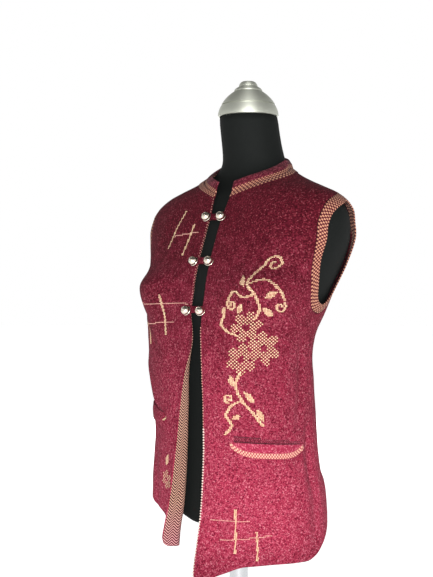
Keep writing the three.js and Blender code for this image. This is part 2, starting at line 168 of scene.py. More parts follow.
EDGE = [  # height, x of the left edge, x of the right fold, width turned out, turn in degrees
    [-60, 20, -32, 38, 99], [20, 20, -27.5, 38, 99], [70, 23, -19, 39, 98], [105, 25, -16, 38, 97],
    [172, 27, -13, 33, 96], [235, 27, -10.5, 28, 94], [279, 26, -9.5, 22, 88],
    [321, 21.5, -7, 13, 70], [350, 17, -8.5, 7, 30], [378, 14.5, -9.5, 0, 0],
    [420, 14.2, -9.5, 0, 0], [500, 14.5, -9.7, 0, 0], [531, 17, -9, 0, 0], [566, 20, -12.5, 0, 0],
    [620, 20, -12.5, 0, 0],
]
HOLE = [  # armhole, from the underarm up the front and down the back: angle and height of the
    # seam, angle and height of the free edge, lift of the free edge
    [92, 374, 92, 389, 3], [87.5, 375.5, 88.5, 390.5, 3], [82.5, 383, 85, 396, 3],
    [78.5, 402, 82.3, 409, 3], [75.5, 432, 80, 433, 3], [75, 462, 78.9, 461, 3],
    [74.4, 492, 79.2, 489, 3], [74.5, 520, 79, 513, 3], [79.5, 550, 82.5, 536, 2.6],
    [92, 567, 92, 552, 2.2], [99, 560, 96.5, 545, 2.4], [105, 545, 100.5, 534, 2.8],
    [110, 520, 104.5, 513, 3], [111.5, 492, 106, 489, 3], [110.5, 463, 105, 461, 3],
    [108, 433, 103, 433, 3], [104.5, 404, 100, 410, 3], [99, 383, 96, 396, 3],
]
CLOTH = 2.2                 # millimetres, wall of the knit
GAP = 0.35                  # clearance at every seam
TRIM = 2                    # wall of the tabs and flaps
FACING = 0.9                # wall of the facings
SEAM = 92                   # degrees round to the side and shoulder seams
ARC = 3.2                   # millimetres round the side for each degree
CORNER = 14                 # radius of the turned front's free corner
BEND = 16                   # distance over which a turned edge comes round
BUST_ANGLE, BUST_HEIGHT, BUST_SWELL = 47, 415, 26      # where the bust stands out, and by how much
BUST_ASIDE, BUST_ABOVE, BUST_BELOW = 21, 24, 46        # how far it spreads, in degrees and in mm
FOLDS_BELOW, FOLD_DEPTH = 250, 1.5          # the skirt's loose folds start under this height
FLARE, FLARE_ANGLE, FLARE_ASIDE = 15, 14, 15           # the hem's left corner swings out by this
FLARE_TOP, FLARE_FALL = 60, 110             # from this height, over this much of the way down

# %% [markdown]
# A small reader turns such a table into a smooth curve: it joins the rows with cubics that never
# overshoot, so a straight stretch stays straight and a bump stays where it was put.

# %% Smooth tables, the body and the drape of the cloth


def read(table, key):
    """The columns of a table at each key, along cubics that don't overshoot."""
    rows = np.asarray(table, float)
    key = np.clip(key, rows[0, 0], rows[-1, 0])
    step = np.diff(rows[:, 0])[:, None]
    slope = np.diff(rows[:, 1:], axis=0) / step
    before, after = np.vstack([slope[:1], slope]), np.vstack([slope, slope[-1:]])
    same = before * after > 0
    tangent = np.where(same, 2 * before * after / np.where(same, before + after, 1), 0)
    i = np.clip(np.searchsorted(rows[:, 0], key, side="right") - 1, 0, len(rows) - 2)
    h = step[i]
    t = (key - rows[i, 0])[..., None] / h
    value = (rows[i, 1:] * (2 * t**3 - 3 * t**2 + 1) + tangent[i] * h * (t**3 - 2 * t**2 + t)
             + rows[i + 1, 1:] * (3 * t**2 - 2 * t**3) + tangent[i + 1] * h * (t**3 - t**2))
    return np.moveaxis(value, -1, 0)


def lerp(a, b, t):
    """The value a share t of the way from a to b."""
    return a + (b - a) * t


def smooth(t):
    """A share from 0 to 1 that starts and ends gently."""
    t = np.clip(t, 0, 1)
    return t * t * (3 - 2 * t)


def unit(v):
    """Directions of length 1."""
    return v / np.maximum(np.linalg.norm(v, axis=-1, keepdims=True), 1e-9)


def body(a, z):
    """The form's skin at a degrees round from the front and z high."""
    a, z = np.broadcast_arrays(np.asarray(a, float), np.asarray(z, float))
    width, front, back, middle_y, square_front, square_back, middle_x = read(BODY, z)
    s, c = np.sin(a * RAD), np.cos(a * RAD)
    ahead = c > 0
    n = np.where(ahead, square_front, square_back)
    depth = np.where(ahead, front, back)
    r = ((np.abs(s) / width) ** n + (np.abs(c) / depth) ** n) ** (-1 / n)
    around = np.abs((a + 180) % 360 - 180)
    wide = np.abs(around - BUST_ANGLE) / BUST_ASIDE
    over = z - BUST_HEIGHT
    tall = np.where(over > 0, over / BUST_ABOVE, -over / BUST_BELOW)
    r = r + BUST_SWELL * np.exp(-wide * wide - tall * tall)
    return np.stack([middle_x + r * s, middle_y - r * c, z], -1)


def facing_out(surface, a, z):
    """Outward direction of a surface, from its slopes across and up."""
    across = surface(a + 0.5, z) - surface(a - 0.5, z)
    up = surface(a, z + 0.5) - surface(a, z - 0.5)
    return unit(np.cross(across, up))


def ease(a, z):
    """How far the cloth hangs off the form, with the loose folds of its lower half."""
    front, side, back = read(EASE, z)
    c = np.cos(a * RAD)
    base = side + np.where(c > 0, front - side, back - side) * np.abs(c) ** 1.5
    folds = np.sin(a * RAD * 5 + 0.6) + 0.6 * np.sin(a * RAD * 9 + 2 + z / 90)
    corner = (np.exp(-(((a - FLARE_ANGLE) / FLARE_ASIDE) ** 2))
              * smooth((FLARE_TOP - z) / FLARE_FALL))
    loose = FOLD_DEPTH * smooth((FOLDS_BELOW - z) / FOLDS_BELOW)
    return base + loose * folds + FLARE * corner


def drape(a, z):
    """The cloth's outer face before its creases."""
    a, z = np.broadcast_arrays(np.asarray(a, float), np.asarray(z, float))
    return body(a, z) + facing_out(body, a, z) * ease(a, z)[..., None]


print("bust", np.round(body(47.0, 415.0), 1), "cloth over it", np.round(drape(47.0, 415.0), 1))

# %% [markdown]
# ## Creases
#
# Knit of this weight breaks into few, soft folds. They are placed one by one, as they fall on the
# real
# vest: long troughs down the sides where the waist is loose, drag lines from the underarm to the
# bust, slack over the pockets, and a flare at the hem's corners. Each row is one trough (negative)
# or ridge, with a round profile that fades out at both ends.

# %% Creases, listed
CREASES = [  # angle and height of the top end, of the bottom end, half width in mm, height in mm
    [84, 345, 79, 190, 9, -4.2], [72, 330, 68, 215, 8, 2.0], [89, 210, 84, 20, 10, -4.0],
    [64, 262, 55, 196, 12, 1.8], [78, 182, 79, 92, 5, 1.8], [86, 184, 88, 88, 6, -2.4],
    [26, 52, 13, -40, 11, -4.4], [40, 8, 27, -34, 8, 2.6],
    [38, 96, 33, 0, 12, 2.4], [50, 76, 52, -12, 13, -2.4], [64, 70, 66, -14, 12, 2.0],
    [74, 392, 56, 372, 7, -1.4], [70, 360, 46, 342, 8, -1.8], [24, 330, 36, 286, 10, -2.2],
    [30, 540, 40, 470, 12, 0.9], [62, 545, 56, 492, 12, 0.9], [66, 446, 58, 404, 7, 1.0],
    [-84, 350, -80, 200, 9, -4.6], [-70, 322, -58, 232, 9, -3.4], [-58, 300, -38, 214, 8, 2.6],
    [-62, 238, -24, 196, 7, -4.4], [-88, 190, -84, 70, 10, -3.6], [-66, 170, -60, 84, 12, 2.4],
    [-44, 150, -40, 58, 11, -2.8], [-72, 388, -52, 366, 7, -1.6], [-60, 350, -36, 318, 8, -2.4],
    [-54, 540, -60, 470, 12, 1.0], [-32, 530, -44, 468, 12, 0.9], [-66, 452, -58, 410, 7, 1.0],
    [104, 330, 112, 196, 11, -4.4], [124, 318, 128, 150, 12, 3.4], [141, 300, 146, 92, 12, -3.8],
    [163, 262, 160, 60, 13, 2.8], [182, 300, 186, 120, 12, -3.2], [203, 250, 206, 56, 13, 3.0],
    [222, 312, 216, 140, 12, -4.0], [240, 286, 236, 90, 12, 3.2], [256, 330, 250, 176, 11, -4.6],
    [118, 420, 142, 360, 9, -1.6], [242, 424, 216, 366, 9, -1.8], [150, 520, 168, 462, 14, 1.2],
    [214, 524, 194, 470, 14, 1.1], [108, 108, 112, 36, 11, 2.4], [250, 112, 247, 64, 11, 2.4],
]


ACROSS = ARC * 0.8          # millimetres for each degree, at the girth where most creases lie


def creases(a, z):
    """Height of the listed folds over the drape, in millimetres."""
    a = (np.asarray(a, float) + 90) % 360 - 90
    total = np.zeros(np.broadcast(a, z).shape)
    for a_top, z_top, a_low, z_low, half, height in CREASES:
        a_top, a_low = (a_top + 90) % 360 - 90, (a_low + 90) % 360 - 90
        if a_top - a_low > 180:
            a_low += 360
        run = np.array([(a_low - a_top) * ACROSS, z_low - z_top])
        length = np.hypot(*run)
        along = ((a - a_top) * ACROSS * run[0] + (z - z_top) * run[1]) / length**2
        aside = ((a - a_top) * ACROSS * run[1] - (z - z_top) * run[0]) / length
        swing = 0.3 * half * np.sin(along * 5 + a_top)
        fade = smooth(along / 0.3 + 0.3) * smooth((1.3 - along) / 0.45)
        total = total + height * fade * np.exp(-(((aside - swing) / half) ** 2))
    return total


def surface(a, z):
    """The outer face of the vest: the drape with its creases."""
    points = drape(a, z)
    return points + facing_out(drape, a, z) * creases(a, z)[..., None]


# %% [markdown]
# ## Where each panel lies
#
# A front is measured as a cutter does: j counts rows from the hem (0) past the underarm (11) and
# the top of the armhole (23) to the neckline (27), and p is the distance in from the front edge.
# The right front's edge is turned back on itself, so its first few centimetres leave the fold and
# show their wrong side.

# %% Rows and edges of the panels
UNDERARM, TIP, ROWS = 11, 23, 27
UNDERARM_Z, TIP_Z, NECK_SIDE_Z = 374, 567, 611
FRONT_ROWS = [[0, 0], [UNDERARM, 352], [TIP, 528], [ROWS, 566]]   # row, height at the front edge
BACK_ROWS = [[0, 0], [UNDERARM, UNDERARM_Z], [17, 470], [TIP, 572], [ROWS, 619]]


def rounded(points, samples=24):
    """A smooth curve through points, as many short steps with their distance along it."""
    p = np.asarray(points, float)
    p = np.vstack([2 * p[0] - p[1], p, 2 * p[-1] - p[-2]])
    t = np.linspace(0, 1, samples, endpoint=False)[:, None]
    parts = [0.5 * (2 * b + (c - a) * t + (2 * a - 5 * b + 4 * c - d) * t**2
                    + (3 * b - a - 3 * c + d) * t**3)
             for a, b, c, d in zip(p[:-3], p[1:-2], p[2:-1], p[3:])]
    line = np.vstack([*parts, p[-2][None]])
    gone = np.concatenate([[0], np.cumsum(np.linalg.norm(np.diff(line, axis=0), axis=1))])
    return line, gone / gone[-1]


def half_hole(front, column):
    """Curve of one half of an armhole line, from the underarm to the shoulder."""
    rows = HOLE[:10] if front else [HOLE[0], *HOLE[9:][::-1]]
    lift = [row[4] if column else 0 for row in rows]
    return rounded([[row[column] * ARC, row[column + 1], up] for row, up in zip(rows, lift)])


HALVES = {(line, front): half_hole(front, column)
          for line, column in (("seam", 0), ("free", 2)) for front in (True, False)}


def hole_at(line, front, t):
    """Angle, height and lift on an armhole line, t from 0 at the underarm to 1 at the shoulder."""
    points, gone = HALVES[line, front]
    x, z, up = (np.interp(t, gone, points[:, k]) for k in range(3))
    return x / ARC, z, up


def seam_edge(j, front):
    """Angle and height of the side seam, armhole and shoulder seam at row j."""
    a, z, _ = hole_at("seam", front, np.clip((j - UNDERARM) / (TIP - UNDERARM), 0, 1))
    shoulder = j > TIP
    z = np.where(shoulder, lerp(TIP_Z, NECK_SIDE_Z, (j - TIP) / (ROWS - TIP)), z)
    return np.where(shoulder, SEAM, a), z


def angle_at(x, z):
    """Degrees round the body of a place x across the front."""
    columns = read(BODY, z)
    return np.arctan2(x - columns[6], columns[1] + ease(0 * z, z)) / RAD


def front_edge(side, j):
    """Height, angle, turned width and turn of a front's edge at row j."""
    foot = read(HEM, 9.0 if side > 0 else -2.0)[0]
    low = lerp(foot, read(FRONT_ROWS, float(UNDERARM))[0], j / UNDERARM)
    z = np.where(j >= UNDERARM, read(FRONT_ROWS, j)[0], low)
    left, fold, wide, turn = read(EDGE, z)
    return z, angle_at(left if side > 0 else fold, z), wide * (side < 0), turn


def reach_of(j, outer, inner):
    """Width of a front round the body at row j."""
    z = np.where(j <= UNDERARM, lerp(0, UNDERARM_Z, j / UNDERARM),
                 lerp(UNDERARM_Z, NECK_SIDE_Z, (j - UNDERARM) / (ROWS - UNDERARM)))
    columns = read(BODY, z)
    return (columns[0] + columns[1]) / 2 * (outer - np.abs(inner)) * RAD


def front_points(side, j, p):
    """Points, outward directions and (distance, height) of a front, for arrays of rows j and p."""
    j, p = np.broadcast_arrays(np.asarray(j, float), np.asarray(p, float))
    outer_a, outer_z = seam_edge(j, True)
    _, edge_a, wide, turn = front_edge(side, j)
    past = p - wide
    t = np.clip(past / reach_of(j, outer_a, edge_a), 0, None)
    a = lerp(edge_a, side * (outer_a - GAP / ARC / 2), t)
    start = read(FRONT_ROWS, np.maximum(j, UNDERARM))[0]
    z = lerp(start, outer_z, np.clip(t, 0, 1))
    z = np.where(j >= UNDERARM, z, lerp(read(HEM, a)[0], z, j / UNDERARM))
    near = np.clip(CORNER - p, 0, CORNER)
    rise = CORNER - np.sqrt(CORNER**2 - near**2)
    z = z + np.where(past < 0, rise * np.clip(1 - j, 0, 1), 0)
    at, out = surface(a, z), facing_out(surface, a, z)
    up = unit(surface(a, z + 1) - at)
    free = unit(np.cross(out, up)) * side
    out_base, steps = out, 8
    back = np.clip(-past, 0, None)[..., None]
    for k in range(steps):
        angle = turn[..., None] * smooth((k + 0.5) / steps * back / BEND) * RAD
        at = at + (np.cos(angle) * free + np.sin(angle) * out_base) * back / steps
    angle = turn[..., None] * smooth(back / BEND) * RAD
    out = unit(out_base * np.cos(angle) - free * np.sin(angle))
    return at, out, np.stack([p, z], -1), a


def front_width(side, j):
    """Millimetres from a front's free edge to its side seam at row j."""
    j = np.asarray(j, float)
    _, edge_a, wide, _ = front_edge(side, j)
    return wide + reach_of(j, seam_edge(j, True)[0], edge_a)


def back_points(j, t):
    """The same for the back, t from -1 at the left seam to 1 at the right one."""
    j, t = np.broadcast_arrays(np.asarray(j, float), np.asarray(t, float))
    outer_a, outer_z = seam_edge(j, False)
    edge = outer_a + GAP / ARC / 2
    a = lerp(edge, 360 - edge, (t + 1) / 2)
    z = lerp(outer_z, read(BACK_ROWS, j)[0], smooth(1 - np.abs(t)))
    z = np.where(j >= UNDERARM, z, lerp(read(HEM, a)[0], UNDERARM_Z, j / UNDERARM))
    return surface(a, z), facing_out(surface, a, z), np.stack([(a - 180) * ARC, z], -1), a


print("left front", round(float(front_width(1, 5.0))), "mm wide at the waist")

# %% [markdown]
# ## A sheet of knit
#
# Knitted cloth could be a plane with a Solidify modifier, but these panels are curved in every
# direction and have shaped edges, so each is built as a grid of points with the outward direction
# at each point. The outer and the inner face are two such grids, a wall's thickness apart, and a
# rounded rim closes them. Every sheet keeps a map of its own flat measurements in centimetres,
# which the knit, check and herringbone patterns follow.

# %% The cloth builder
UV_UNIT = 0.1               # map units for a millimetre, so the map is in centimetres


def rim_path(m, w, ring):
    """Border places of a grid, anticlockwise seen from outside, one list for each closed border."""
    if ring:
        return [[(j, 0) for j in range(m - 1, 0, -1)], [(j, w - 1) for j in range(m - 1)]]
    return [[(0, i) for i in range(w - 1)] + [(j, w - 1) for j in range(m - 1)]
            + [(m - 1, i) for i in range(w - 1, 0, -1)] + [(j, 0) for j in range(m - 1, 0, -1)]]


def cloth(name, points, outward, flat_map, wall, lift=0.0, ring=False):
    """A closed sheet: points in rows, its outer face lifted off them, its rim half round."""
    m, w = points.shape[:2]
    kept = m - 1 if ring else m
    away = np.zeros_like(points)
    away[:, 0] += unit(points[:, 0] - points[:, 1])
    away[:, -1] += unit(points[:, -1] - points[:, -2])
    if not ring:
        away[0] += unit(points[0] - points[1])
        away[-1] += unit(points[-1] - points[-2])
    away = unit(away)
    radius = wall / 2
    near = points - away * radius
    cells = np.arange(kept * w).reshape(kept, w)
    outer = np.vstack([cells, cells[:1]]) if ring else cells
    inner = outer + kept * w
    vertices = [(near + outward * lift)[:kept].reshape(-1, 3),
                (near + outward * (lift - wall))[:kept].reshape(-1, 3)]
    place = np.arange(m * w).reshape(m, w)
    faces, spots = [], []

    def quads(a, b, c, d, pa, pb, pc, pd):
        faces.append(np.stack([a, b, c, d], -1).reshape(-1, 4))
        spots.append(np.stack([pa, pb, pc, pd], -1).reshape(-1, 4))

    corners = [(slice(None, -1), slice(None, -1)), (slice(None, -1), slice(1, None)),
               (slice(1, None), slice(1, None)), (slice(1, None), slice(None, -1))]
    quads(*(outer[c] for c in corners), *(place[c] for c in corners))
    quads(*(inner[c] for c in corners[::-1]), *(place[c] for c in corners[::-1]))
    total = 2 * kept * w
    for path in rim_path(m, w, ring):
        j, i = np.array(path).T
        rings, where = [outer[j, i]], place[j, i]
        for turn in (45, 90, 135):
            centre = near[j, i] + outward[j, i] * (lift - radius)
            vertices.append(centre + radius * (outward[j, i] * math.cos(turn * RAD)
                                               + away[j, i] * math.sin(turn * RAD)))
            rings.append(total + np.arange(len(path)))
            total += len(path)
        rings.append(inner[j, i])
        if ring:                  # the closing row shares the first row's points
            where_next = place[np.where(i > 0, j + 1, j - 1), i]
        else:
            where_next = np.roll(where, -1)
        for first, second in zip(rings[:-1], rings[1:]):
            quads(first, second, np.roll(second, -1), np.roll(first, -1),
                  where, where, where_next, where_next)
    mesh = bpy.data.meshes.new(name)
    mesh.from_pydata(placed(np.vstack(vertices)).tolist(), [], np.vstack(faces).tolist())
    layer = mesh.uv_layers.new(name="flat")
    uv = flat_map.reshape(-1, 2)[np.vstack(spots).reshape(-1)] * UV_UNIT
    layer.data.foreach_set("uv", uv.astype(np.float32).reshape(-1))
    mesh.polygons.foreach_set("use_smooth", np.ones(len(mesh.polygons), bool))
    mesh.update()
    thing = bpy.data.objects.new(name, mesh)
    scene.collection.objects.link(thing)
    return thing


print("cloth builder ready, map unit", UV_UNIT)

# %% [markdown]
# ## Fronts and back
#
# The two fronts and the back are the three panels that a knitter would make. They are finely
# divided, a point every three or four millimetres, so that creases stay soft. Each panel lies as
# its simple solid does, a hair's width from its neighbours at the side and shoulder seams.

# %% Three panels of knit
LEVELS = np.concatenate([np.linspace(0, UNDERARM, 105, endpoint=False),
                         np.linspace(UNDERARM, TIP, 56, endpoint=False),
                         np.linspace(TIP, ROWS, 14)])
STRIP = 38                  # millimetres in from the edge that the facing covers


def front_grid(side, levels, distances):
    """A front's points at its rows, at the distances in from the edge that each row asks for."""
    j = levels[:, None] + 0 * distances(levels)
    points, out, uv, a = front_points(side, j, distances(levels))
    if side < 0:            # the right front runs the other way round the body
        points, out, uv, a = (v[:, ::-1] for v in (points, out, uv, a))
    return points, out, uv, a


def whole_width(side):
    """Distances for a whole front: close together under the facing, then out to the side."""
    def distances(levels):
        first = np.linspace(0, STRIP, 14)[None]
        rest = np.linspace(0, 1, 52)[None, 1:]
        wide = front_width(side, levels)[:, None]
        return np.hstack([first + 0 * wide, STRIP + (wide - STRIP) * rest])
    return distances


panels = {}
for side, name in ((1, "front_left"), (-1, "front_right")):
    points, out, uv, _ = front_grid(side, LEVELS, whole_width(side))
    panels[name] = cloth(f"knit_{name}", points, out, uv, CLOTH)
points, out, uv, _ = back_points(LEVELS[:, None], np.linspace(-1, 1, 111)[None])
panels["back"] = cloth("knit_back", points, out, uv, CLOTH)

# %% [markdown]
# ## Facings
#
# Inside each front edge the knit is doubled by a thin facing in the yarn's wrong side, a tan and
# dark herringbone. On the right front it is turned out to view. It follows the front exactly, one
# wall further in, so the two can never cross.

# %% Facings inside the front edges


def strip_width(levels):
    """Distances across the strip, a little short of the free edge."""
    return np.linspace(0.9, STRIP, 15)[None] + 0 * levels[:, None]


for side, name in ((1, "facing_left"), (-1, "facing_right")):
    points, out, uv, _ = front_grid(side, LEVELS[LEVELS <= TIP], strip_width)
    panels[name] = cloth(f"herringbone_{name}", points, out, uv, FACING, -CLOTH - GAP)

# %% [markdown]
# ## Armhole bands
#
# Each armhole is finished with a narrow ribbed band, knitted on and closed under the arm. It is one
# ring that follows the opening from the underarm up the front, over the shoulder and down the back.
# A small swell across its width makes it read as a double edge and not as a painted stripe.

# %% Armhole bands
BAND_WIDE = 14


def band(side):
    """Points round an armhole, seven across the band, and the flat map along it."""
    up = np.linspace(0, 1, 56)
    steps = np.concatenate([up, up[::-1][1:]])
    front = np.arange(len(steps)) < len(up)
    rows = []
    for t, ahead in zip(steps, front):
        a, z, _ = hole_at("seam", ahead, t)
        b, y, rise = hole_at("free", ahead, t)
        e = np.linspace(0.03, 1, 7)
        angle, height = side * lerp(a, b, e), lerp(z, y, e)
        out = facing_out(surface, angle, height)
        swell = rise * e * e + 0.5 * np.sin(np.pi * e)
        rows.append((surface(angle, height) + out * swell[:, None], out, e * BAND_WIDE))
    points, out, across = (np.stack(part) for part in zip(*rows))
    gone = np.cumsum(np.linalg.norm(np.diff(points[:, 3], axis=0, prepend=points[:1, 3]), axis=1))
    uv = np.stack([gone[:, None] + 0 * across, across], -1)
    if side < 0:
        points, out, uv = (v[:, ::-1] for v in (points, out, uv))
    return points, out, uv


for side, name in ((1, "armhole_band_left"), (-1, "armhole_band_right")):
    points, out, uv = band(side)
    panels[name] = cloth(f"rib_{name}", points, out, uv, CLOTH, 0, ring=True)
print("band", round(float(uv[-1, 0, 0])), "mm round")

# %% [markdown]
# ## Stand collar
#
# The collar is a separate strip, sewn to the neckline and leaning in towards the neck. Its foot
# takes its points from the neckline of the three panels, so the seam is shared all the way round.

# %% Collar
COLLAR_TOPS = (591, 630, 645)           # height of its top edge in front, at the side and behind
COLLAR_REACH = (79, 61, 57.5)           # how far the top edge is from the neck's middle there
COLLAR_STARTS = 12                      # degrees round from the middle of the front


def collar_points(v, a, foot_z):
    """Places on the collar, v from 0 at its foot to 1 at its top edge."""
    around = np.abs((a + 180) % 360 - 180)
    behind = smooth((around - SEAM) / (180 - SEAM))
    fore = (around - COLLAR_STARTS) / (SEAM - COLLAR_STARTS)
    ahead = around < SEAM
    high = np.where(ahead, lerp(*COLLAR_TOPS[:2], fore), lerp(*COLLAR_TOPS[1:], behind))
    reach = np.where(ahead, lerp(*COLLAR_REACH[:2], smooth(fore)), lerp(*COLLAR_REACH[1:], behind))
    foot = surface(a, foot_z + 0.5)
    columns = read(BODY, high)
    ray = np.stack([np.sin(a * RAD), -np.cos(a * RAD), 0 * a], -1)
    top = np.stack([columns[6] + ray[..., 0] * reach, columns[3] + ray[..., 1] * reach, high], -1)
    swell = 1.6 * np.sin(v * np.pi)[..., None]
    return lerp(foot, top, v[..., None]) + (ray + np.array([0, 0, 0.4])) * swell


def neckline():
    """Angles and heights of the seam, from the left front round the back to the right front."""
    top = np.array([float(ROWS)])
    left = front_points(1, top[:, None], whole_width(1)(top))
    right = front_points(-1, top[:, None], whole_width(-1)(top))
    behind = back_points(top[:, None], np.linspace(-1, 1, 91)[None])
    a = np.concatenate([left[3][0, :-1], behind[3][0], 360 + right[3][0, :-1][::-1]])
    z = np.concatenate([left[2][0, :-1, 1], behind[2][0, :, 1], right[2][0, :-1, 1][::-1]])
    return a, z


neck_a, neck_z = neckline()
v, a = np.meshgrid(np.linspace(0, 1, 13), neck_a, indexing="ij")
foot_z = neck_z[None] + 0 * v
points = collar_points(v, a, foot_z)
across = collar_points(v, a + 1, foot_z) - collar_points(v, a - 1, foot_z)
upward = (collar_points(np.minimum(1, v + 0.1), a, foot_z)
          - collar_points(np.maximum(0, v - 0.1), a, foot_z))
out = unit(np.cross(across, upward))
gone = np.cumsum(np.linalg.norm(np.diff(points[6], axis=0, prepend=points[6][:1]), axis=1))
tall = np.linalg.norm(points[-1] - points[0], axis=1)
uv = np.stack([gone[None] + 0 * v, v * tall[None]], -1)
panels["collar"] = cloth("knit_collar", points, out, uv, CLOTH)
print("collar", round(float(gone[-1])), "mm long and up to", round(float(tall.max())), "mm tall")

# %% [markdown]
# The collar's seam is covered by a narrow gold-checked binding that lies on the panels just under
# it. It takes the same neckline points and steps down the cloth, so that it follows the seam.

# %% Neck binding
BINDING_WIDE, BINDING = 6.5, 0.9            # millimetres: width and thickness

v, a = np.meshgrid(np.linspace(0, 1, 5), neck_a, indexing="ij")
z = neck_z[None] + 0.3 - BINDING_WIDE * (1 - v)
points, out = surface(a, z), facing_out(surface, a, z)
uv = np.stack([gone[None] + 0 * v, v * BINDING_WIDE], -1)
binding = cloth("rib_neck_binding", points, out, uv, BINDING, GAP + BINDING)

# %% [markdown]
# ## Pocket flaps and tabs
#
# The flaps are small curved pieces laid on the fronts, with a gold edge along their lower side. The
# three tabs are plain strips across the opening. Both take their points from the cloth under them
# and are lifted off it, so they follow every curve of the bust and hip.

# %% Pocket flaps and tabs
FLAPS = {  # angle of each end, then the height of each
    "pocket_flap_left": (30, 80, 172, 163), "pocket_flap_right": (-27, -80, 211, 228),
}
FLAP_TALL, FLAP_CURVE = 24, 0.65            # millimetres, and the share lost at the rounded ends
PAIRS = [[524, 21.5, -8.6], [452.3, 19.4, -12], [374.3, 18.2, -11.6]]   # height, x of each bead
TAB_PAST, TAB_BELOW, TAB_ABOVE = 4, 2.5, 8.5            # how far a tab goes past its beads

for name, (start, end, z_start, z_end) in FLAPS.items():
    t, v = np.meshgrid(np.linspace(0, 1, 49), np.linspace(0, 1, 9))
    if start < 0:
        t = t[:, ::-1]
    drop = FLAP_TALL * (1 - np.abs(2 * t - 1) ** 4 * FLAP_CURVE)
    a, z = lerp(start, end, t), lerp(z_start, z_end, t) - drop * (1 - v)
    points, out = surface(a, z), facing_out(surface, a, z)
    uv = np.stack([np.abs(a) * ARC, drop * v], -1)
    panels[name] = cloth(f"knit_{name}", points, out, uv, TRIM, 2 * GAP + TRIM)

for k, (z, left, right) in enumerate(PAIRS, 1):
    x, h = np.meshgrid(np.linspace(right - TAB_PAST, left + TAB_PAST, 21),
                       np.linspace(-TAB_BELOW, TAB_ABOVE, 7))
    a = angle_at(x, np.full_like(x, z))
    points, out = surface(a, z + h), facing_out(surface, a, z + h)
    panels[f"strap_{k}"] = cloth(f"tab_{k}", points, out, np.stack([x, h], -1), TRIM, GAP + TRIM)

# %% [markdown]
# ## The gold design, stitch by stitch
#
# On the real vest the flowers, scrolls and crossed lines are knitted in with a gold yarn, so every
# line moves in whole stitches and looks slightly stepped. The design could be painted on by a
# texture, but raised stitches catch the light as yarn does and stay put when the vest is seen from
# another side. Curves are first drawn flat, in millimetres round from the middle of the front and
# up from the hem, and each stitch that a curve passes through is then marked on a grid.

# %% The stitch grid
STITCH_WIDE, STITCH_TALL = 2.3, 1.95        # millimetres, drawn a little coarse so that it shows
PETAL_WIDE, PETAL_TALL = 3.0, 2.55          # stitches of the flowers, two yarns carried together


class Chart:
    """A knitting chart: the set of stitches worked in the second yarn."""

    def __init__(self, wide=STITCH_WIDE, tall=STITCH_TALL):
        self.cells, self.wide, self.tall = set(), wide, tall

    def line(self, points, half=0.95):
        """Marks what a curve through the points covers, half on each side, in millimetres."""
        path, _ = rounded(points, 30) if len(points) > 2 else (np.asarray(points, float), 0)
        gone = np.concatenate([[0], np.cumsum(np.linalg.norm(np.diff(path, axis=0), axis=1))])
        for s in np.arange(0, gone[-1], 0.7):
            u, z = (np.interp(s, gone, path[:, k]) for k in (0, 1))
            for du in (-half, 0, half):
                self.cells.add((round((u + du) / self.wide), round(z / self.tall)))

    def fill(self, centre, reach, inside, check=False):
        """Marks all, or every second, stitch round a centre that lies inside a shape."""
        u0, z0 = centre
        for column in range(int((u0 - reach) / self.wide) - 1, int((u0 + reach) / self.wide) + 2):
            for row in range(int((z0 - reach) / self.tall) - 1, int((z0 + reach) / self.tall) + 2):
                shown = not check or (column + row) % 2 == 0
                if shown and inside(column * self.wide - u0, row * self.tall - z0):
                    self.cells.add((column, row))


def spiral(u, z, size, start, turns):
    """Points of a scroll that winds in to its middle."""
    k = np.linspace(0, 1, 22)
    r = size * (1 - 0.8 * k)
    angle = (start + 360 * turns * k) * RAD
    return np.stack([u + r * np.cos(angle), z + r * np.sin(angle)], -1)


def flower(chart, u, z, size, turn):
    """Six round petals in a fine check, with an open middle."""
    def petal(du, dz):
        r, angle = math.hypot(du, dz), math.atan2(dz, du) - turn * RAD
        edge = size * (0.48 + 0.52 * abs(math.cos(3 * angle)) ** 0.7)
        return 0.2 * size < r < edge
    chart.fill((u, z), size + 3, petal, check=True)


def leaf(chart, u, z, long, wide, turn):
    """A solid leaf, pointed at both ends."""
    c, s = math.cos(turn * RAD), math.sin(turn * RAD)
    def blade(du, dz):
        along, aside = (du * c + dz * s) / long, (dz * c - du * s) / wide
        return abs(along) < 1 and abs(aside) < 1 - along * along
    chart.fill((u, z), long + 2, blade)


print("one stitch is", STITCH_WIDE, "by", STITCH_TALL, "mm")

# %% [markdown]
# The chart for the left front has three flowers in a cluster over the pocket. A stem climbs from
# them towards the armhole in scrolls and leaves, and a second one trails down to the pocket. Below
# the pocket, two upright and two level lines cross near the hem. The right front has two plain
# groups of crossed lines, high and low.

# %% Charts of both fronts
left_chart, right_chart = Chart(), Chart()
left_faint, right_faint = Chart(), Chart()      # level lines, in a thinner rose-gold yarn
left_petals, right_petals = (Chart(PETAL_WIDE, PETAL_TALL) for _ in range(2))
for bloom in ((98, 354, 26, 12), (129, 320, 28, 40), (94, 302, 25, 25)):
    flower(left_petals, *bloom)
for stem in ([(110, 366), (118, 384), (112, 404), (98, 418), (104, 436), (112, 447)],
             [(98, 418), (124, 424), (150, 412), (160, 396)],
             [(112, 404), (92, 400), (76, 408), (66, 398)],
             [(84, 340), (68, 346), (56, 358), (60, 372)],
             [(92, 282), (84, 262), (92, 238), (108, 218), (124, 196)],
             [(92, 238), (76, 230), (66, 214), (74, 198), (64, 184)]):
    left_chart.line(stem)
for scroll in ((126, 449, 15, 188, -1.3), (152, 386, 10, 40, -1.2), (72, 388, 9, 130, 1.3),
               (72, 241, 8, 260, -1.1)):
    left_chart.line(spiral(*scroll))
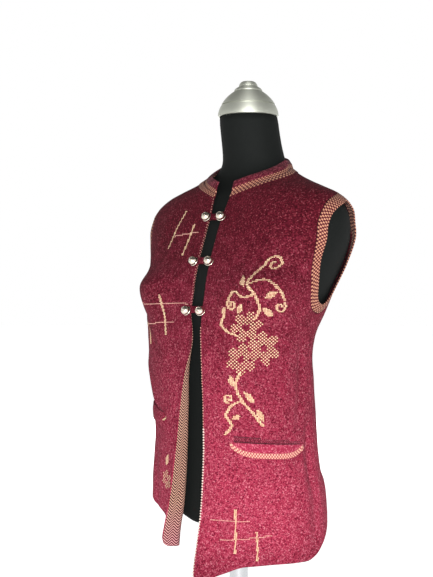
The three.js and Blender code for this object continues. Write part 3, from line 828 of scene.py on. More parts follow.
for blade in ((138, 404, 11, 4.5, 25), (88, 422, 9, 4, 120), (131, 378, 11, 5, -35),
              (86, 382, 9, 4.2, 60), (58, 378, 6.5, 4, 80), (78, 268, 10, 4.5, 100),
              (104, 243, 12, 4.8, -50), (120, 214, 11, 4.6, -62), (82, 211, 7, 3.6, 20)):
    leaf(left_chart, *blade)
flower(right_petals, -58, 100, 16, 20)
leaf(right_chart, -56, 132, 10, 4.5, 70)
right_chart.line([(-72, 204), (-68, 196), (-64, 203)])
for chart, half, points in (        # the upright lines
        (left_chart, 0.4, [(79, 66), (81, 34), (84, 0)]),
        (left_chart, 0.4, [(114, 32), (118, 8), (121, -12)]),
        (right_chart, 0.3, [(-70, 541), (-82, 510), (-92, 478)]),
        (right_chart, 0.5, [(-42, 516), (-47, 490), (-52, 465)]),
        (right_chart, 0.7, [(-76, 402), (-62, 368), (-51, 337)]),
        (right_chart, 0.7, [(-126, 357), (-116, 338), (-106, 321)])):
    chart.line(points, half)
for chart, points in (              # the level lines, one stitch tall
        (left_faint, [(39, 49), (70, 49), (101, 48)]),
        (left_faint, [(58, 19), (98, 22), (138, 25)]),
        (right_faint, [(-30, 503), (-56, 501), (-82, 498)]),
        (right_faint, [(-16, 387), (-86, 388), (-156, 390)]),
        (right_faint, [(-39, 357), (-80, 356), (-122, 355)])):
    chart.line(points, half=0)
print(len(left_chart.cells), "and", len(right_chart.cells), "gold stitches")

# %% [markdown]
# One stitch is a low dome of yarn with its foot sunk in the cloth. The dome is worked once, with a
# dozen faces, and set on the cloth at every marked place, turned to the surface there. Angles round
# the body come from measured arc lengths, so that a flower keeps its width over the bust.

# %% Stitches set on the cloth
DOME = np.array([[math.cos(k * 60 * RAD) * r, math.sin(k * 60 * RAD) * r, h]
                 for r, h in ((0.5, -0.35), (0.46, 0.16)) for k in range(6)] + [[0, 0, 0.34]])
DOME_FACES = ([[k, (k + 1) % 6, 6 + (k + 1) % 6, 6 + k] for k in range(6)]
              + [[6 + k, 6 + (k + 1) % 6, 12] for k in range(6)] + [[5, 4, 3, 2, 1, 0]])
ARC_EVERY = 10.0            # millimetres up between the rows where arcs are measured
ARC_ROWS = np.arange(-70, 591, ARC_EVERY)
ARC_STEPS = np.arange(0, 100.1, 1.0)
ROW_PAIR = 4.3              # millimetres from one dot of an edge to the next


def arc_table(side):
    """Millimetres round the cloth from the middle of the front, for each row and degree."""
    a, z = np.meshgrid(ARC_STEPS * side, ARC_ROWS)
    run = np.linalg.norm(np.diff(drape(a, z), axis=1), axis=-1)
    return np.hstack([np.zeros((len(ARC_ROWS), 1)), np.cumsum(run, axis=1)])


ARCS = {side: arc_table(side) for side in (1, -1)}


def angle_of(side, u, z):
    """Degrees round the body for a distance u round it from the middle of the front."""
    row = np.clip((z - ARC_ROWS[0]) / ARC_EVERY, 0, len(ARC_ROWS) - 1.001)
    k, rest = int(row), row - int(row)
    low, high = (np.interp(abs(u), ARCS[side][i], ARC_STEPS) for i in (k, k + 1))
    return side * lerp(low, high, rest)


def stitches(name, angles, heights, wide, tall, raised=1.0):
    """One mesh of domed stitches at places on the cloth."""
    a, z = np.asarray(angles, float), np.asarray(heights, float)
    at, out = surface(a, z), facing_out(surface, a, z)
    up = unit(surface(a, z + 1) - at)
    right = unit(np.cross(up, out))
    shape = DOME * np.array([wide, tall, raised])
    points = (at[:, None] + right[:, None] * shape[None, :, :1] + up[:, None] * shape[None, :, 1:2]
              + out[:, None] * shape[None, :, 2:])
    faces = [[k * len(DOME) + i for i in face] for k in range(len(a)) for face in DOME_FACES]
    mesh = bpy.data.meshes.new(name)
    mesh.from_pydata(placed(points.reshape(-1, 3)).tolist(), [], faces)
    mesh.polygons.foreach_set("use_smooth", np.ones(len(faces), bool))
    thing = bpy.data.objects.new(name, mesh)
    scene.collection.objects.link(thing)
    return thing


def worked(name, side, chart, full=1.08):
    """The stitches of a chart, each a little fuller than its place, so that they touch."""
    spots = np.array(sorted(chart.cells), float) * [chart.wide, chart.tall]
    angles = [angle_of(side, u, z) for u, z in spots]
    return stitches(name, angles, spots[:, 1], chart.wide * full, chart.tall * full)


def edge_stitches(name, low, high, wide, tall, side=1):
    """Dots of yarn along a front's edge, one for each row pair."""
    z = np.arange(low, high, ROW_PAIR)
    x = read(EDGE, z)[0] + 0.7 if side > 0 else read(EDGE, z)[1] - 1.2
    return stitches(name, angle_at(x, z), z, wide, tall, raised=1.5)


def pocket_slit_shade():
    """Two dark rows over the pocket flap, with every other stitch between them: painted shade in the
    pocket's opening.
    """
    a0, a1, z0, z1 = FLAPS["pocket_flap_left"]
    spots = [(lerp(a0 + 3, a1 - 2, t), lerp(z0, z1, t) + 0.4 + row * STITCH_TALL)
             for row in range(5) for k, t in enumerate(np.linspace(0, 1, 66))
             if row * STITCH_TALL < lerp(9.5, 5, t) and (row in (0, 4) or (k + row) % 2)]
    return stitches("dark_pocket_slit", *zip(*spots), STITCH_WIDE, STITCH_TALL, raised=0.7)


edge_low = edge_stitches("cream_edge_stitches", -38, 192, 3.4, 2.9)
edge_high = edge_stitches("rose_edge_stitches", 194, 350, 2.2, 2.2)
edge_right = edge_stitches("rose_right_edge_stitches", 382, 560, 1.4, 1.7, side=-1)
slit = pocket_slit_shade()
designs = {
    "front_left": [worked("gold_design_left", 1, left_chart),
                   worked("gold_petals_left", 1, left_petals, 0.98),
                   worked("rose_lines_left", 1, left_faint, 0.95), edge_low, edge_high, slit],
    "front_right": [worked("gold_design_right", -1, right_chart),
                    worked("gold_petals_right", -1, right_petals, 0.98),
                    worked("rose_lines_right", -1, right_faint, 0.95), edge_right],
}
for side_pieces in designs.values():
    print({thing.name: len(thing.data.polygons) for thing in side_pieces})

# %% [markdown]
# ## The dress form
#
# The form is a hard moulded body with a thin stretched cover. Its simple solid already has the
# right girths, but in wide flat facets. A copy is merged, because the frame's meshes are loose
# triangles, and its triangles are joined to quads. The sharp rims are creased, so that they stay,
# and a round of subdivision makes the rest as smooth as a moulding.

# %% Torso
SHARP = RAD * 50            # an edge that turns more than this is a real one
use(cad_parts["form_torso"])
bpy.ops.object.duplicate()
torso = bpy.context.view_layer.objects.active
torso.name = "dress_form"
torso.data = torso.data.copy()
bpy.ops.object.mode_set(mode="EDIT")
bpy.ops.mesh.select_all(action="SELECT")
bpy.ops.mesh.remove_doubles(threshold=0.00001)
bpy.ops.mesh.tris_convert_to_quads(face_threshold=RAD * 60, shape_threshold=RAD * 60)
bpy.ops.mesh.select_all(action="DESELECT")
bpy.ops.mesh.edges_select_sharp(sharpness=SHARP)
bpy.ops.transform.edge_crease(value=0.9)      # the cut rim under the cap stays a rim
bpy.ops.object.mode_set(mode="OBJECT")
apply_modifier(torso, "SUBSURF", levels=1, render_levels=1)
bpy.ops.object.shade_smooth_by_angle(angle=SHARP)
print("form", len(torso.data.polygons), "faces")

# %% [markdown]
# The neck cap, the pole and the base are turned work: every section is a circle. A lathe is
# imitated by starting from one filled circle and raising it ring by ring, each ring scaled to the
# next radius of the profile. The cap's groove and the rims of the base then come out as sharp as
# they were typed.

# %% Turned pieces
CAP_PROFILE = [  # radius and height in millimetres
    (51.3, 706), (51.7, 706.4), (51.9, 707.4), (51.7, 711), (50.9, 715), (49.5, 719),
    (47.7, 722.8), (47.1, 724.2), (44.2, 724.7), (43.8, 726.1), (45.8, 726.7), (44.2, 729.8),
    (42, 733), (39.2, 736.4), (36, 739.8), (32.6, 742.9), (29.2, 745.6), (26.2, 747.8),
    (24.6, 748.8), (24.1, 749.5), (24.2, 750.6), (23.2, 752.4), (21.2, 754.4), (18.9, 755.8),
    (17.4, 756.4), (16.5, 757.2), (16.1, 758.6), (15.4, 760.6), (14.2, 762.8), (12.4, 764.8),
    (10, 766), (6.6, 766.6), (3, 766.8),
]
POLE_PROFILE = [(15.6, -139.7), (16, -139.3), (16, 41.2), (15.6, 41.6)]
BASE_PROFILE = [(147.6, -150), (149.3, -149.4), (150, -147.8), (150, -143.4), (149.4, -141.6),
                (147.6, -140.4), (145.4, -140)]
CAP_BACK = 28               # the neck leans back, so the cap sits behind the pole's line


def turned(name, profile, y=0.0, sides=96):
    """A piece raised from its lowest ring, with its axis y behind the pole's."""
    centre = Vector(placed([0, y, profile[0][1]]))
    deselect()
    bpy.ops.mesh.primitive_circle_add(vertices=sides, radius=profile[0][0] * MM,
                                      fill_type="NGON", location=centre)
    thing = bpy.context.object
    thing.name = name
    bpy.ops.object.transform_apply(location=True)
    bpy.ops.object.mode_set(mode="EDIT")
    bpy.ops.mesh.select_all(action="SELECT")
    for (radius, height), (wider, higher) in zip(profile[:-1], profile[1:]):
        bpy.ops.mesh.extrude_region_move(
            TRANSFORM_OT_translate={"value": (0, 0, (higher - height) * MM)})
        scale = wider / radius
        bpy.ops.transform.resize(value=(scale, scale, 1), center_override=centre)
    bpy.ops.mesh.select_all(action="SELECT")
    bpy.ops.mesh.normals_make_consistent(inside=False)
    bpy.ops.object.mode_set(mode="OBJECT")
    bpy.ops.object.shade_smooth_by_angle(angle=RAD * 32)
    print(name, len(thing.data.polygons), "faces")
    return thing


cap = turned("neck_cap_turned", CAP_PROFILE, CAP_BACK)
pole = turned("pole_tube", POLE_PROFILE, sides=64)
base = turned("base_plate", BASE_PROFILE, sides=128)

# %% [markdown]
# ## Beads
#
# Each bead is a hollow metal ball with a pressed rim and a shank behind it, sewn through the tab.
# One is modelled: a ball, its front pushed out into a small crown inside an inset groove, and a
# ring round its back. The others are copies with their own mesh, each turned to face out of the
# cloth.

# %% One bead and its five copies
BEAD_RADIUS = 7.6 * MM
RING_OUT, RING_HALF, RING_BACK = 0.92, 0.15, 0.3        # the ring behind, as shares of the radius


def model_bead():
    """A ball with a crown in a groove, and a ring behind, joined as one mesh."""
    deselect()
    bpy.ops.mesh.primitive_uv_sphere_add(segments=40, ring_count=24, radius=BEAD_RADIUS,
                                         location=(0, 0, 0))
    ball = bpy.context.object
    bpy.ops.object.mode_set(mode="EDIT")
    work = bmesh.from_edit_mesh(ball.data)
    for face in work.faces:
        face.select_set(face.calc_center_median().z > BEAD_RADIUS * 0.86)
    bmesh.update_edit_mesh(ball.data)
    bpy.ops.mesh.inset(thickness=BEAD_RADIUS * 0.06, depth=-BEAD_RADIUS * 0.07)
    bpy.ops.mesh.inset(thickness=BEAD_RADIUS * 0.05, depth=BEAD_RADIUS * 0.07)
    bpy.ops.object.mode_set(mode="OBJECT")
    bpy.ops.object.shade_smooth_by_angle(angle=SHARP)
    bpy.ops.mesh.primitive_torus_add(
        major_radius=BEAD_RADIUS * RING_OUT, minor_radius=BEAD_RADIUS * RING_HALF,
        major_segments=40, minor_segments=10, location=(0, 0, -BEAD_RADIUS * RING_BACK))
    rim = bpy.context.object
    bpy.ops.object.transform_apply(location=True)
    bpy.ops.object.shade_smooth()
    deselect()
    rim.select_set(True)
    ball.select_set(True)
    bpy.context.view_layer.objects.active = ball
    bpy.ops.object.join()
    for face in ball.data.polygons:         # the rim takes the second finish
        x, y, z = face.center / BEAD_RADIUS
        face.material_index = int(math.hypot(x, y) > 0.76 and -0.46 < z < -0.14
                                  and math.hypot(math.hypot(x, y) - RING_OUT,
                                                 z + RING_BACK) < RING_HALF + 0.01)
    return ball


pattern_bead = model_bead()
beads = {}
for k, (z, left, right) in enumerate(PAIRS, 1):
    for hand, x in (("left", left), ("right", right)):
        node = f"bead_{hand}_{k}"
        middle = sum((Vector(corner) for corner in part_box(node)), Vector()) / 2
        a = angle_at(np.array(x), np.array(float(z)))
        ahead = Vector(facing_out(drape, a, np.array(float(z)))).normalized()
        tilt = Vector((0.25 if hand == "left" else -0.1, 0, 0.12))
        bead = bpy.data.objects.new(f"metal_{node}", pattern_bead.data.copy())
        scene.collection.objects.link(bead)
        turn = (ahead + tilt).to_track_quat("Z", "Y").to_matrix().to_4x4()
        bead.data.transform(Matrix.Translation(middle) @ turn)
        beads[node] = bead
bpy.data.objects.remove(pattern_bead)
print(len(beads), "beads of", len(bead.data.polygons), "faces")

# %% [markdown]
# ## Colours and the node helper
#
# Colours are typed as the hex values a dyer's card would give and turned to the linear values
# that a shader needs. One helper adds a node, sets its fields, joins its inputs and, on a colour
# ramp, lays out its stops.

# %% Colour and node helpers


def ink(code):
    """Linear colour of an sRGB hex value."""
    parts = [int(code[k:k + 2], 16) / 255 for k in (1, 3, 5)]
    return (*[c / 12.92 if c <= 0.04045 else ((c + 0.055) / 1.055) ** 2.4 for c in parts], 1)


def add(tree, kind, inputs=None, stops=(), **fields):
    """Adds a node; inputs are values, or sockets to join, and stops are a ramp's colours."""
    made = tree.nodes.new("ShaderNode" + kind)
    for name, value in fields.items():
        setattr(made, name, value)
    for key, value in (inputs or {}).items():
        if isinstance(value, bpy.types.NodeSocket):
            tree.links.new(value, made.inputs[key])
        else:
            made.inputs[key].default_value = value
    for _ in stops[2:]:         # a new ramp comes with two stops
        made.color_ramp.elements.new(0.5)
    if stops:
        for element, (place, code) in zip(made.color_ramp.elements, stops):
            element.position, element.color = place, ink(code)
    return made


def new_material(name, settings):
    """A material, its tree and its shader, which takes the settings that are even all over."""
    material = bpy.data.materials.new(name)
    material.use_nodes = True
    tree = material.node_tree
    shader = tree.nodes["Principled BSDF"]
    for key, value in settings.items():
        shader.inputs[key].default_value = value
    return material, tree, shader


print("wine", [round(c, 3) for c in ink("#7a1f38")])

# %% [markdown]
# ## Knit
#
# The cloth is a close plain knit in wine yarn with a paler fleck twisted in. A random value for
# each short twist of the yarn gives that melange, on the sheet's own flat map, and a finer noise
# breaks its edges up as stray fibres do. Shade is painted into the colour by height, deeper over the
# shoulders and rosier down the skirt, with a slow random drift in the dye laid over it, and a bump
# in the shape of a V gives each stitch its two legs. The yarn is matt with a soft sheen. Real
# stitches and twists are somewhat finer, and too fine to show, so both are drawn a little coarse.

# %% Wine knit
YARN_ROUGH = 0.9            # wool scatters light all ways, so no highlight forms on it
FLECK = 1.35                # millimetres for one twist of the yarn, drawn a little coarse to show
FLUFF, TUFTS = 0.4, 330.0   # share of the stray fibres in each shade, and tufts to the metre: 3 mm
                            # across, where real ones are under 1 mm and wouldn't show
DYE_DRIFT, DYE_PATCHES = 7.0, 48.0          # to the metre: slow drift over 140 mm, blots of 20 mm
WALE, COURSE = 3, 16        # millimetres across and along the faint streaks of the knitting
LEG_SLANT, LEG_DEPTH = 1.2, 0.4             # lean of a stitch's legs, and their height in mm
STITCH_SCALE = (1 / (STITCH_WIDE * UV_UNIT), 1 / (STITCH_TALL * UV_UNIT), 1)


def knit_bump(tree, fine):
    """Two slanted legs for each stitch, from the map scaled to one stitch a unit."""
    parts = add(tree, "SeparateXYZ", {0: fine}).outputs
    across = add(tree, "Math", {0: parts["X"], 1: 1.0}, operation="PINGPONG").outputs[0]
    slant = add(tree, "Math", {0: across, 1: LEG_SLANT, 2: parts["Y"]},
                operation="MULTIPLY_ADD").outputs[0]
    turn = add(tree, "Math", {0: slant, 1: 2 * math.pi}, operation="MULTIPLY").outputs[0]
    wave = add(tree, "Math", {0: turn}, operation="SINE").outputs[0]
    return add(tree, "Bump", {"Height": wave, "Strength": 0.4, "Distance": LEG_DEPTH * MM})


def wine_knit():
    """A wool blend: deep, dull wine that the paler fleck keeps from looking flat or painted."""
    material, tree, shader = new_material("wine_wool_blend_knit", {
        "Roughness": YARN_ROUGH, "Specular IOR Level": 0.06, "Sheen Weight": 0.04,
        "Sheen Roughness": 0.5, "Sheen Tint": ink("#d19097")})
    flat = add(tree, "UVMap", uv_map="flat").outputs["UV"]
    where = add(tree, "TexCoord").outputs["Object"]
    twists = add(tree, "Mapping", {"Vector": flat, "Scale": (1 / (FLECK * UV_UNIT),
                                                             1 / (FLECK * UV_UNIT), 1)})
    twist = add(tree, "VectorMath", {0: twists.outputs["Vector"]}, operation="FLOOR")
    chance = add(tree, "TexWhiteNoise", {"Vector": twist.outputs["Vector"]},
                 noise_dimensions="2D").outputs["Value"]
    fluff = add(tree, "TexNoise", {"Vector": where, "Scale": TUFTS, "Detail": 3.0}).outputs["Fac"]
    fluff = add(tree, "MapRange", {"Value": fluff, "From Min": 0.25, "From Max": 0.75}).outputs[0]
    chance = add(tree, "Mix", {"Factor": FLUFF, 2: chance, 3: fluff}).outputs[0]
    chance = add(tree, "MapRange", {"Value": chance, "From Min": 0.16,
                                    "From Max": 0.84}).outputs[0]
    # low is the wine as lit, high the same wine in painted shade, for the shoulders and the hem
    low = add(tree, "ValToRGB", {"Fac": chance}, stops=[
        (0.0, "#520f20"), (0.25, "#771b2f"), (0.6, "#8f2d43"), (0.86, "#9c4356"),
        (1.0, "#ac6773")]).outputs["Color"]
    high = add(tree, "ValToRGB", {"Fac": chance}, stops=[
        (0.0, "#280409"), (0.3, "#3b0913"), (0.7, "#4c0f1c"), (0.92, "#5f1c26"),
        (1.0, "#743a41")]).outputs["Color"]
    height = add(tree, "SeparateXYZ", {0: where}).outputs["Z"]
    drift = add(tree, "TexNoise", {"Vector": where, "Scale": DYE_DRIFT,
                                   "Detail": 2.0}).outputs["Fac"]
    patches = add(tree, "TexNoise", {"Vector": where, "Scale": DYE_PATCHES,
                                     "Detail": 3.0}).outputs["Fac"]
    wales = add(tree, "Mapping", {"Vector": flat, "Scale": (1 / (WALE * UV_UNIT),
                                                            1 / (COURSE * UV_UNIT), 1)})
    streaks = add(tree, "TexNoise", {"Vector": wales.outputs["Vector"], "Scale": 1.0,
                                     "Detail": 1.0}).outputs["Fac"]
    # height paints shade: the higher the cloth, the more of the deep, shaded wine it takes
    shade = height              # metres up, and each unevenness of the dye counts as some of them
    for source, weight in ((drift, 0.16), (patches, 0.24), (streaks, 0.16)):
        shade = add(tree, "Math", {0: source, 1: weight, 2: shade},
                    operation="MULTIPLY_ADD").outputs[0]
    blend = add(tree, "MapRange", {"Value": shade, "From Min": 0.5, "From Max": 0.92}).outputs[0]
    # painted shade: over the hem's last 50 mm, given in metres, the colour goes part of the way back
    # to the deep one
    painted_hem_shade = add(tree, "MapRange", {"Value": height, "From Min": 0.165, "From Max": 0.115,
                                 "To Max": 0.45}).outputs[0]
    blend = add(tree, "Math", {0: blend, 1: painted_hem_shade}, operation="MAXIMUM").outputs[0]
    colour = add(tree, "Mix", {"Factor": blend, 6: low, 7: high}, data_type="RGBA").outputs[2]
    tree.links.new(colour, shader.inputs["Base Color"])
    fine = add(tree, "Mapping", {"Vector": flat, "Scale": STITCH_SCALE}).outputs["Vector"]
    tree.links.new(knit_bump(tree, fine).outputs["Normal"], shader.inputs["Normal"])
    return material


knit = wine_knit()
print("knit stitches", round(10 / STITCH_WIDE, 1), "to the centimetre")

# %% [markdown]
# ## Gold check
#
# Bands, collar foot and flap edge are knitted in two yarns that change over every few stitches, so
# gold dots stand in a wine check. Two sine waves, one along the strip and one across it, are
# multiplied, and the product is above nothing in every second square. The same check is used on the
# collar and flaps, but only up to a set height across the strip; above it they are plain wine.

# %% Gold and wine lattice
CHECK = 5.8                 # millimetres from one gold dot to the next, drawn a little coarse


def gold_lattice(tree, flat, gold, wine):
    """The product of the two waves, and the two yarns' colours laid out by it."""
    turns = 2 * math.pi / (CHECK * UV_UNIT)
    squares = add(tree, "Mapping", {"Vector": flat, "Scale": (turns, turns, 1)})
    parts = add(tree, "SeparateXYZ", {0: squares.outputs["Vector"]}).outputs
    waves = [add(tree, "Math", {0: parts[axis]}, operation="SINE").outputs[0] for axis in "XY"]
    product = add(tree, "Math", {0: waves[0], 1: waves[1]}, operation="MULTIPLY").outputs[0]
    level = add(tree, "MapRange", {"Value": product, "From Min": -1.0, "From Max": 1.0}).outputs[0]
    return product, add(tree, "ValToRGB", {"Fac": level}, stops=[
        (0.0, wine), (0.5, wine), (0.62, gold), (1.0, gold)]).outputs["Color"]


# the default yarns are a copy darkened as painted half shade; the flap is given a lighter, lit copy
def lattice_material(name, top=None, plain=("#380b16", "#551422", "#7c3743"),
                     gold="#a97861", wine="#43111b"):
    """Two-yarn check, raised where the gold lies on top; above top mm it is plain knit."""
    material, tree, shader = new_material(name, {
        "Roughness": YARN_ROUGH, "Specular IOR Level": 0.08, "Sheen Weight": 0.04})
    flat = add(tree, "UVMap", uv_map="flat").outputs["UV"]
    product, colour = gold_lattice(tree, flat, gold, wine)
    if top:
        fine = add(tree, "Mapping", {"Vector": flat, "Scale": STITCH_SCALE}).outputs["Vector"]
        stitch = add(tree, "VectorMath", {0: fine}, operation="FLOOR").outputs["Vector"]
        chance = add(tree, "TexWhiteNoise", {"Vector": stitch},
                     noise_dimensions="2D").outputs["Value"]
        shades = add(tree, "ValToRGB", {"Fac": chance},
                     stops=list(zip((0.0, 0.7, 1.0), plain))).outputs["Color"]
        across = add(tree, "SeparateXYZ", {0: flat}).outputs["Y"]
        above = add(tree, "MapRange", {"Value": across, "From Min": (top - 0.5) * UV_UNIT,
                                       "From Max": (top + 0.5) * UV_UNIT}).outputs[0]
        colour = add(tree, "Mix", {"Factor": above, 6: colour, 7: shades},
                     data_type="RGBA").outputs[2]
    tree.links.new(colour, shader.inputs["Base Color"])
    bump = add(tree, "Bump", {"Height": product, "Strength": 0.5, "Distance": 0.5 * MM})
    tree.links.new(bump.outputs["Normal"], shader.inputs["Normal"])
    return material


# The bands' and the collar's gold is dull, a copy darkened as painted half shade. The collar's plain
# part is as deep as the painted shade of the shoulders, and the flap is a lighter, rosier copy, as
# lit as the skirt round it.
band_check = lattice_material("gold_check_rib")
collar_check = lattice_material("gold_check_collar_knit", top=8)
flap_check = lattice_material("gold_check_flap_knit", top=9, gold="#cf9f88", wine="#8a4048",
                              plain=("#77192f", "#8f2b43", "#a85866"))
print("check", CHECK, "mm")

# %% [markdown]
# ## Herringbone and gold yarn
#
# The wrong side of the doubled edge shows short floats of tan and dark yarn that lean one way and
# then the other: a herringbone. The stripes follow the height plus a distance that runs to and fro
# across the strip, which turns them into chevrons, and they grow rosier near the hem. The yarns of
# the design are plain and matt.

# %% Herringbone facing and plain yarns
RUN = 8.0                   # millimetres across one slant of the herringbone
CHEVRON = 4.4               # millimetres for one tan and one dark float, drawn coarse to show
FLOAT_SLANT = 0.9           # rise of a float for each step across
ROSY_BELOW, TAN_ABOVE = 10, 75              # heights in mm between which the floats turn tan
YARN_GRAIN = 420.0          # twists of a yarn to the metre: one in 2.4 mm, a little coarse to show


def herringbone():
    """The knit's wrong side: strong pale and dark chevrons that read from across a room."""
    material, tree, shader = new_material("tan_herringbone_knit_back", {
        "Roughness": YARN_ROUGH, "Specular IOR Level": 0.08})
    flat = add(tree, "UVMap", uv_map="flat").outputs["UV"]
    parts = add(tree, "SeparateXYZ", {0: flat}).outputs
    aside = add(tree, "Math", {0: parts["X"], 1: RUN * UV_UNIT}, operation="PINGPONG").outputs[0]
    slant = add(tree, "Math", {0: aside, 1: FLOAT_SLANT, 2: parts["Y"]},
                operation="MULTIPLY_ADD").outputs[0]
    turn = add(tree, "Math", {0: slant, 1: 2 * math.pi / (CHEVRON * UV_UNIT)},
               operation="MULTIPLY").outputs[0]
    wave = add(tree, "Math", {0: turn}, operation="SINE").outputs[0]
    place = add(tree, "MapRange", {"Value": wave, "From Min": -1.0, "From Max": 1.0}).outputs[0]
    tan = add(tree, "ValToRGB", {"Fac": place}, stops=[
        (0.0, "#22090d"), (0.42, "#3a1319"), (0.6, "#8c6354"), (1.0, "#c09a86")])
    rosy = add(tree, "ValToRGB", {"Fac": place}, stops=[
        (0.0, "#3c0c19"), (0.42, "#5c1a29"), (0.6, "#945a5f"), (1.0, "#c0908f")])
    low = add(tree, "MapRange", {"Value": parts["Y"], "From Min": ROSY_BELOW * UV_UNIT,
                                 "From Max": TAN_ABOVE * UV_UNIT}).outputs[0]
    colour = add(tree, "Mix", {"Factor": low, 6: rosy.outputs["Color"], 7: tan.outputs["Color"]},
                 data_type="RGBA").outputs[2]
    tree.links.new(colour, shader.inputs["Base Color"])
    bump = add(tree, "Bump", {"Height": wave, "Strength": 0.6, "Distance": 0.5 * MM})
    tree.links.new(bump.outputs["Normal"], shader.inputs["Normal"])
    return material


def grained(tree, shader, scale, detail, dark, light):
    """A fine noise that takes the base colour from dark to light."""
    where = add(tree, "TexCoord").outputs["Object"]
    noise = add(tree, "TexNoise", {"Vector": where, "Scale": scale, "Detail": detail})
    colour = add(tree, "ValToRGB", {"Fac": noise.outputs["Fac"]}, stops=[(0.3, dark), (0.7, light)])
    tree.links.new(colour.outputs["Color"], shader.inputs["Base Color"])
    return noise.outputs["Fac"]


def plain_yarn(name, dark, light):
    """Twisted yarn: its grain keeps a raised stitch from looking like a drop of paint."""
    material, tree, shader = new_material(name, {
        "Roughness": YARN_ROUGH, "Specular IOR Level": 0.25, "Sheen Weight": 0.1})
    grained(tree, shader, YARN_GRAIN, 1.0, dark, light)
    return material


# Gold for the flowers and stems, which stand out warm on the wine. Cream for the dots of the lower
# edge, the lightest thing on the vest. Rose gold for the level lines, which sink back a little.
# Dark wine for the pocket's slit: painted shade of its opening, so that it reads as a hole.
facing_knit = herringbone()
gold_yarn = plain_yarn("gold_design_yarn", "#b0896a", "#d8c09b")
cream_yarn = plain_yarn("cream_edge_yarn", "#c3a99d", "#ddcfc4")
rose_yarn = plain_yarn("rose_gold_yarn", "#a66e67", "#c99d8c")
slit_shade_yarn = plain_yarn("dark_wine_yarn", "#260710", "#410e1c")
print("chevrons", CHEVRON, "mm")

# %% [markdown]
# ## Cover, metals and paint
#
# The form's cover is a matt greenish-black jersey over hard foam. The cap is cast alloy, brushed
# round its axis, so its grain is a bump of fine level rings, and each highlight is drawn out
# upright. The beads are polished plated metal, the pole bright steel tube and the base
# powder-coated plate with a slight orange-peel skin.

# %% Hard finishes
QUARTER_TURN = 0.25
BRUSHED = (14, 14, 900)     # to the metre: rings 1.1 mm apart, coarser than real so that they show
POLISHED = (300, 300, 300)  # faint ripples of 3 mm, left by the plating
DRAWN = (260, 260, 8)       # marks along the tube, 4 mm apart and 120 mm long
JERSEY, ORANGE_PEEL = 900.0, 700.0          # to the metre: stitches of 1.1 mm, dimples of 1.4 mm


def metal(name, colour, rough, grain=None, strength=0.0, streak=0.0):
    """Bare metal. Grain is how often its scratches repeat in a metre along each axis, and streak
    how far brushing marks round the upright axis draw its highlights out."""
    material, tree, shader = new_material(name, {
        "Base Color": ink(colour), "Metallic": 1.0, "Roughness": rough})
    if grain:
        where = add(tree, "TexCoord").outputs["Object"]
        rings = add(tree, "Mapping", {"Vector": where, "Scale": grain})
        noise = add(tree, "TexNoise", {"Vector": rings.outputs["Vector"], "Scale": 1.0,
                                       "Detail": 3.0})
        bump = add(tree, "Bump", {"Height": noise.outputs["Fac"], "Strength": strength,
                                  "Distance": 0.1 * MM})
        tree.links.new(bump.outputs["Normal"], shader.inputs["Normal"])
    if streak:
        shader.inputs["Anisotropic"].default_value = streak
        shader.inputs["Anisotropic Rotation"].default_value = QUARTER_TURN
        around = add(tree, "Tangent", direction_type="RADIAL", axis="Z")
        tree.links.new(around.outputs["Tangent"], shader.inputs["Tangent"])
    return material


def skin(name, dark, light, rough, scale, strength, specular=0.5):
    """A non-metal skin with a fine grain in both colour and bump."""
    material, tree, shader = new_material(name, {
        "Roughness": rough, "Specular IOR Level": specular})
    noise = grained(tree, shader, scale, 2.0, dark, light)
    bump = add(tree, "Bump", {"Height": noise, "Strength": strength, "Distance": 0.2 * MM})
    tree.links.new(bump.outputs["Normal"], shader.inputs["Normal"])
    return material


# The cap: brushing marks that run round it spread its light into a soft upright streak.
brushed_cap = metal("brushed_cast_alloy", "#c0c2b7", 0.58, BRUSHED, 0.25, streak=0.6)
# The beads: a warm mirror of the white room, with a dull brown ring that parts them from the tab;
# the ring is a brass setting, darkened as painted shade round each bead's foot.
bead_plate = metal("polished_nickel_plate", "#e2d8c8", 0.13, POLISHED, 0.05)
# dark brass ring: partly a real setting, partly painted shade at the bead's edge
bead_rim_and_shade = metal("darkened_brass_rim", "#4a382c", 0.3)
# The pole: long clean reflections, a little broken by the drawing marks along the tube.
steel_tube = metal("bright_steel_tube", "#c4c6c8", 0.2, DRAWN, 0.08)
# The form: jersey takes almost no highlight, so it stays a quiet dark shape behind the cloth.
form_jersey = skin("black_form_jersey", "#070908", "#0c0f0e", 0.8, JERSEY, 0.3, 0.15)
# The base: a satin skin whose grain blurs the reflection of the pole.
base_coat = skin("black_powder_coat", "#101112", "#17181a", 0.42, ORANGE_PEEL, 0.25)
print("finishes", len(bpy.data.materials))

# %% Finishes and what each piece stands for
FINISH = {"front_left": knit, "front_right": knit, "back": knit, "collar": collar_check,
          "pocket_flap_left": flap_check, "pocket_flap_right": knit,
          "strap_1": knit, "strap_2": knit, "strap_3": knit,
          "armhole_band_left": band_check, "armhole_band_right": band_check,
          "facing_left": facing_knit, "facing_right": facing_knit}


def dress(piece, node, finish, replaced=True):
    """Gives a piece its finish in a material slot, puts it under the root body, and hides the solid
    that it stands for when replaced is set.
    """
    piece.data.materials.clear()
    piece.data.materials.append(finish)
    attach(piece, "root")
    if replaced:
        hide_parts(node)


for name, piece in panels.items():
    dress(piece, name, FINISH[name])
YARNS = {"gold": gold_yarn, "cream": cream_yarn, "rose": rose_yarn, "dark": slit_shade_yarn}
dress(binding, "collar", band_check)
for name, worked_pieces in designs.items():
    for piece in worked_pieces:
        yarn = YARNS[piece.name.split("_")[0]]
        dress(piece, name, yarn, replaced=False)
dress(torso, "form_torso", form_jersey)
dress(cap, "neck_cap", brushed_cap)
dress(pole, "pole", steel_tube)
dress(base, "base", base_coat)
for node, bead in beads.items():
    dress(bead, node, bead_plate)
    bead.data.materials.append(bead_rim_and_shade)

# %% [markdown]
# ## Floor and light
#
# The stand is on a plain pale floor in an even white surround. One large soft lamp stands beside
# the camera, lower than the bust, and gives the cloth its form. A weaker one behind draws a thin
# light line along the far edges.

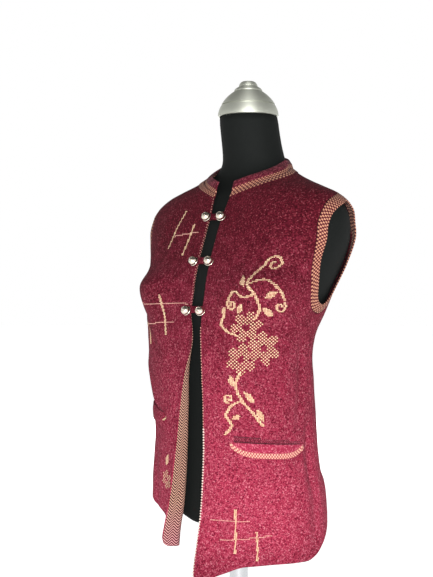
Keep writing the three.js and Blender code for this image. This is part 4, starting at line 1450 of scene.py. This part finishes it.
# %% Floor, lamps and surround
FLOOR_REACH = 14            # metres, so that its edge is out of sight
FLOOR_DROP = 0.0004         # a hair under the base, so that the two faces don't flicker
FLOOR_GLOW = 0.72           # a sheet of opal plastic lit a little from below, so it stays pale
CEILING = 0.1               # light from straight above, as a share of the light from the walls


def make_stage():
    """The floor that the base stands on."""
    deselect()
    bpy.ops.mesh.primitive_circle_add(vertices=96, radius=FLOOR_REACH, fill_type="NGON",
                                      location=(0, 0, -FLOOR_DROP))
    floor = bpy.context.object
    floor.name = "floor"
    # opal sheet: no highlight and hardly a shadow, so the floor runs into the white behind it
    material, tree, shader = new_material("pale_matt_floor", {
        "Roughness": 0.95, "Specular IOR Level": 0.1, "Emission Color": ink("#ffffff"),
        "Emission Strength": FLOOR_GLOW})
    grained(tree, shader, 2.0, 2.0, "#f6f6f5", "#fafafa")
    floor.data.materials.append(material)


def lamp(name, place, aim, size, watts):
    """A round soft lamp that looks at a point."""
    data = bpy.data.lights.new(name, "AREA")
    data.shape, data.size, data.energy = "DISK", size, watts
    thing = bpy.data.objects.new(name, data)
    thing.location = place
    thing.rotation_euler = (Vector(aim) - Vector(place)).to_track_quat("-Z", "Y").to_euler()
    scene.collection.objects.link(thing)


def surround():
    """White all round at eye level and darker overhead, as in a room with a black ceiling."""
    world = bpy.data.worlds.new("white_surround")
    world.use_nodes = True
    tree = world.node_tree
    way = add(tree, "TexCoord").outputs["Generated"]
    up = add(tree, "SeparateXYZ", {0: way}).outputs["Z"]
    level = add(tree, "MapRange", {"Value": up, "From Min": 0.3, "From Max": 0.62,
                                   "To Min": 1.0, "To Max": CEILING}).outputs[0]
    tree.links.new(level, tree.nodes["Background"].inputs["Strength"])
    tree.nodes["Background"].inputs["Color"].default_value = (1, 1, 1, 1)
    scene.world = world


make_stage()
lamp("key_lamp", (1.6, -2.1, 0.5), (0, 0, 0.42), 0.7, 94)
lamp("back_lamp", (-1.6, 2.3, 0.75), (0, 0, 0.45), 0.8, 22)
surround()
scene.view_settings.view_transform = "Standard"
print("lamps", [light.name for light in bpy.data.lights])
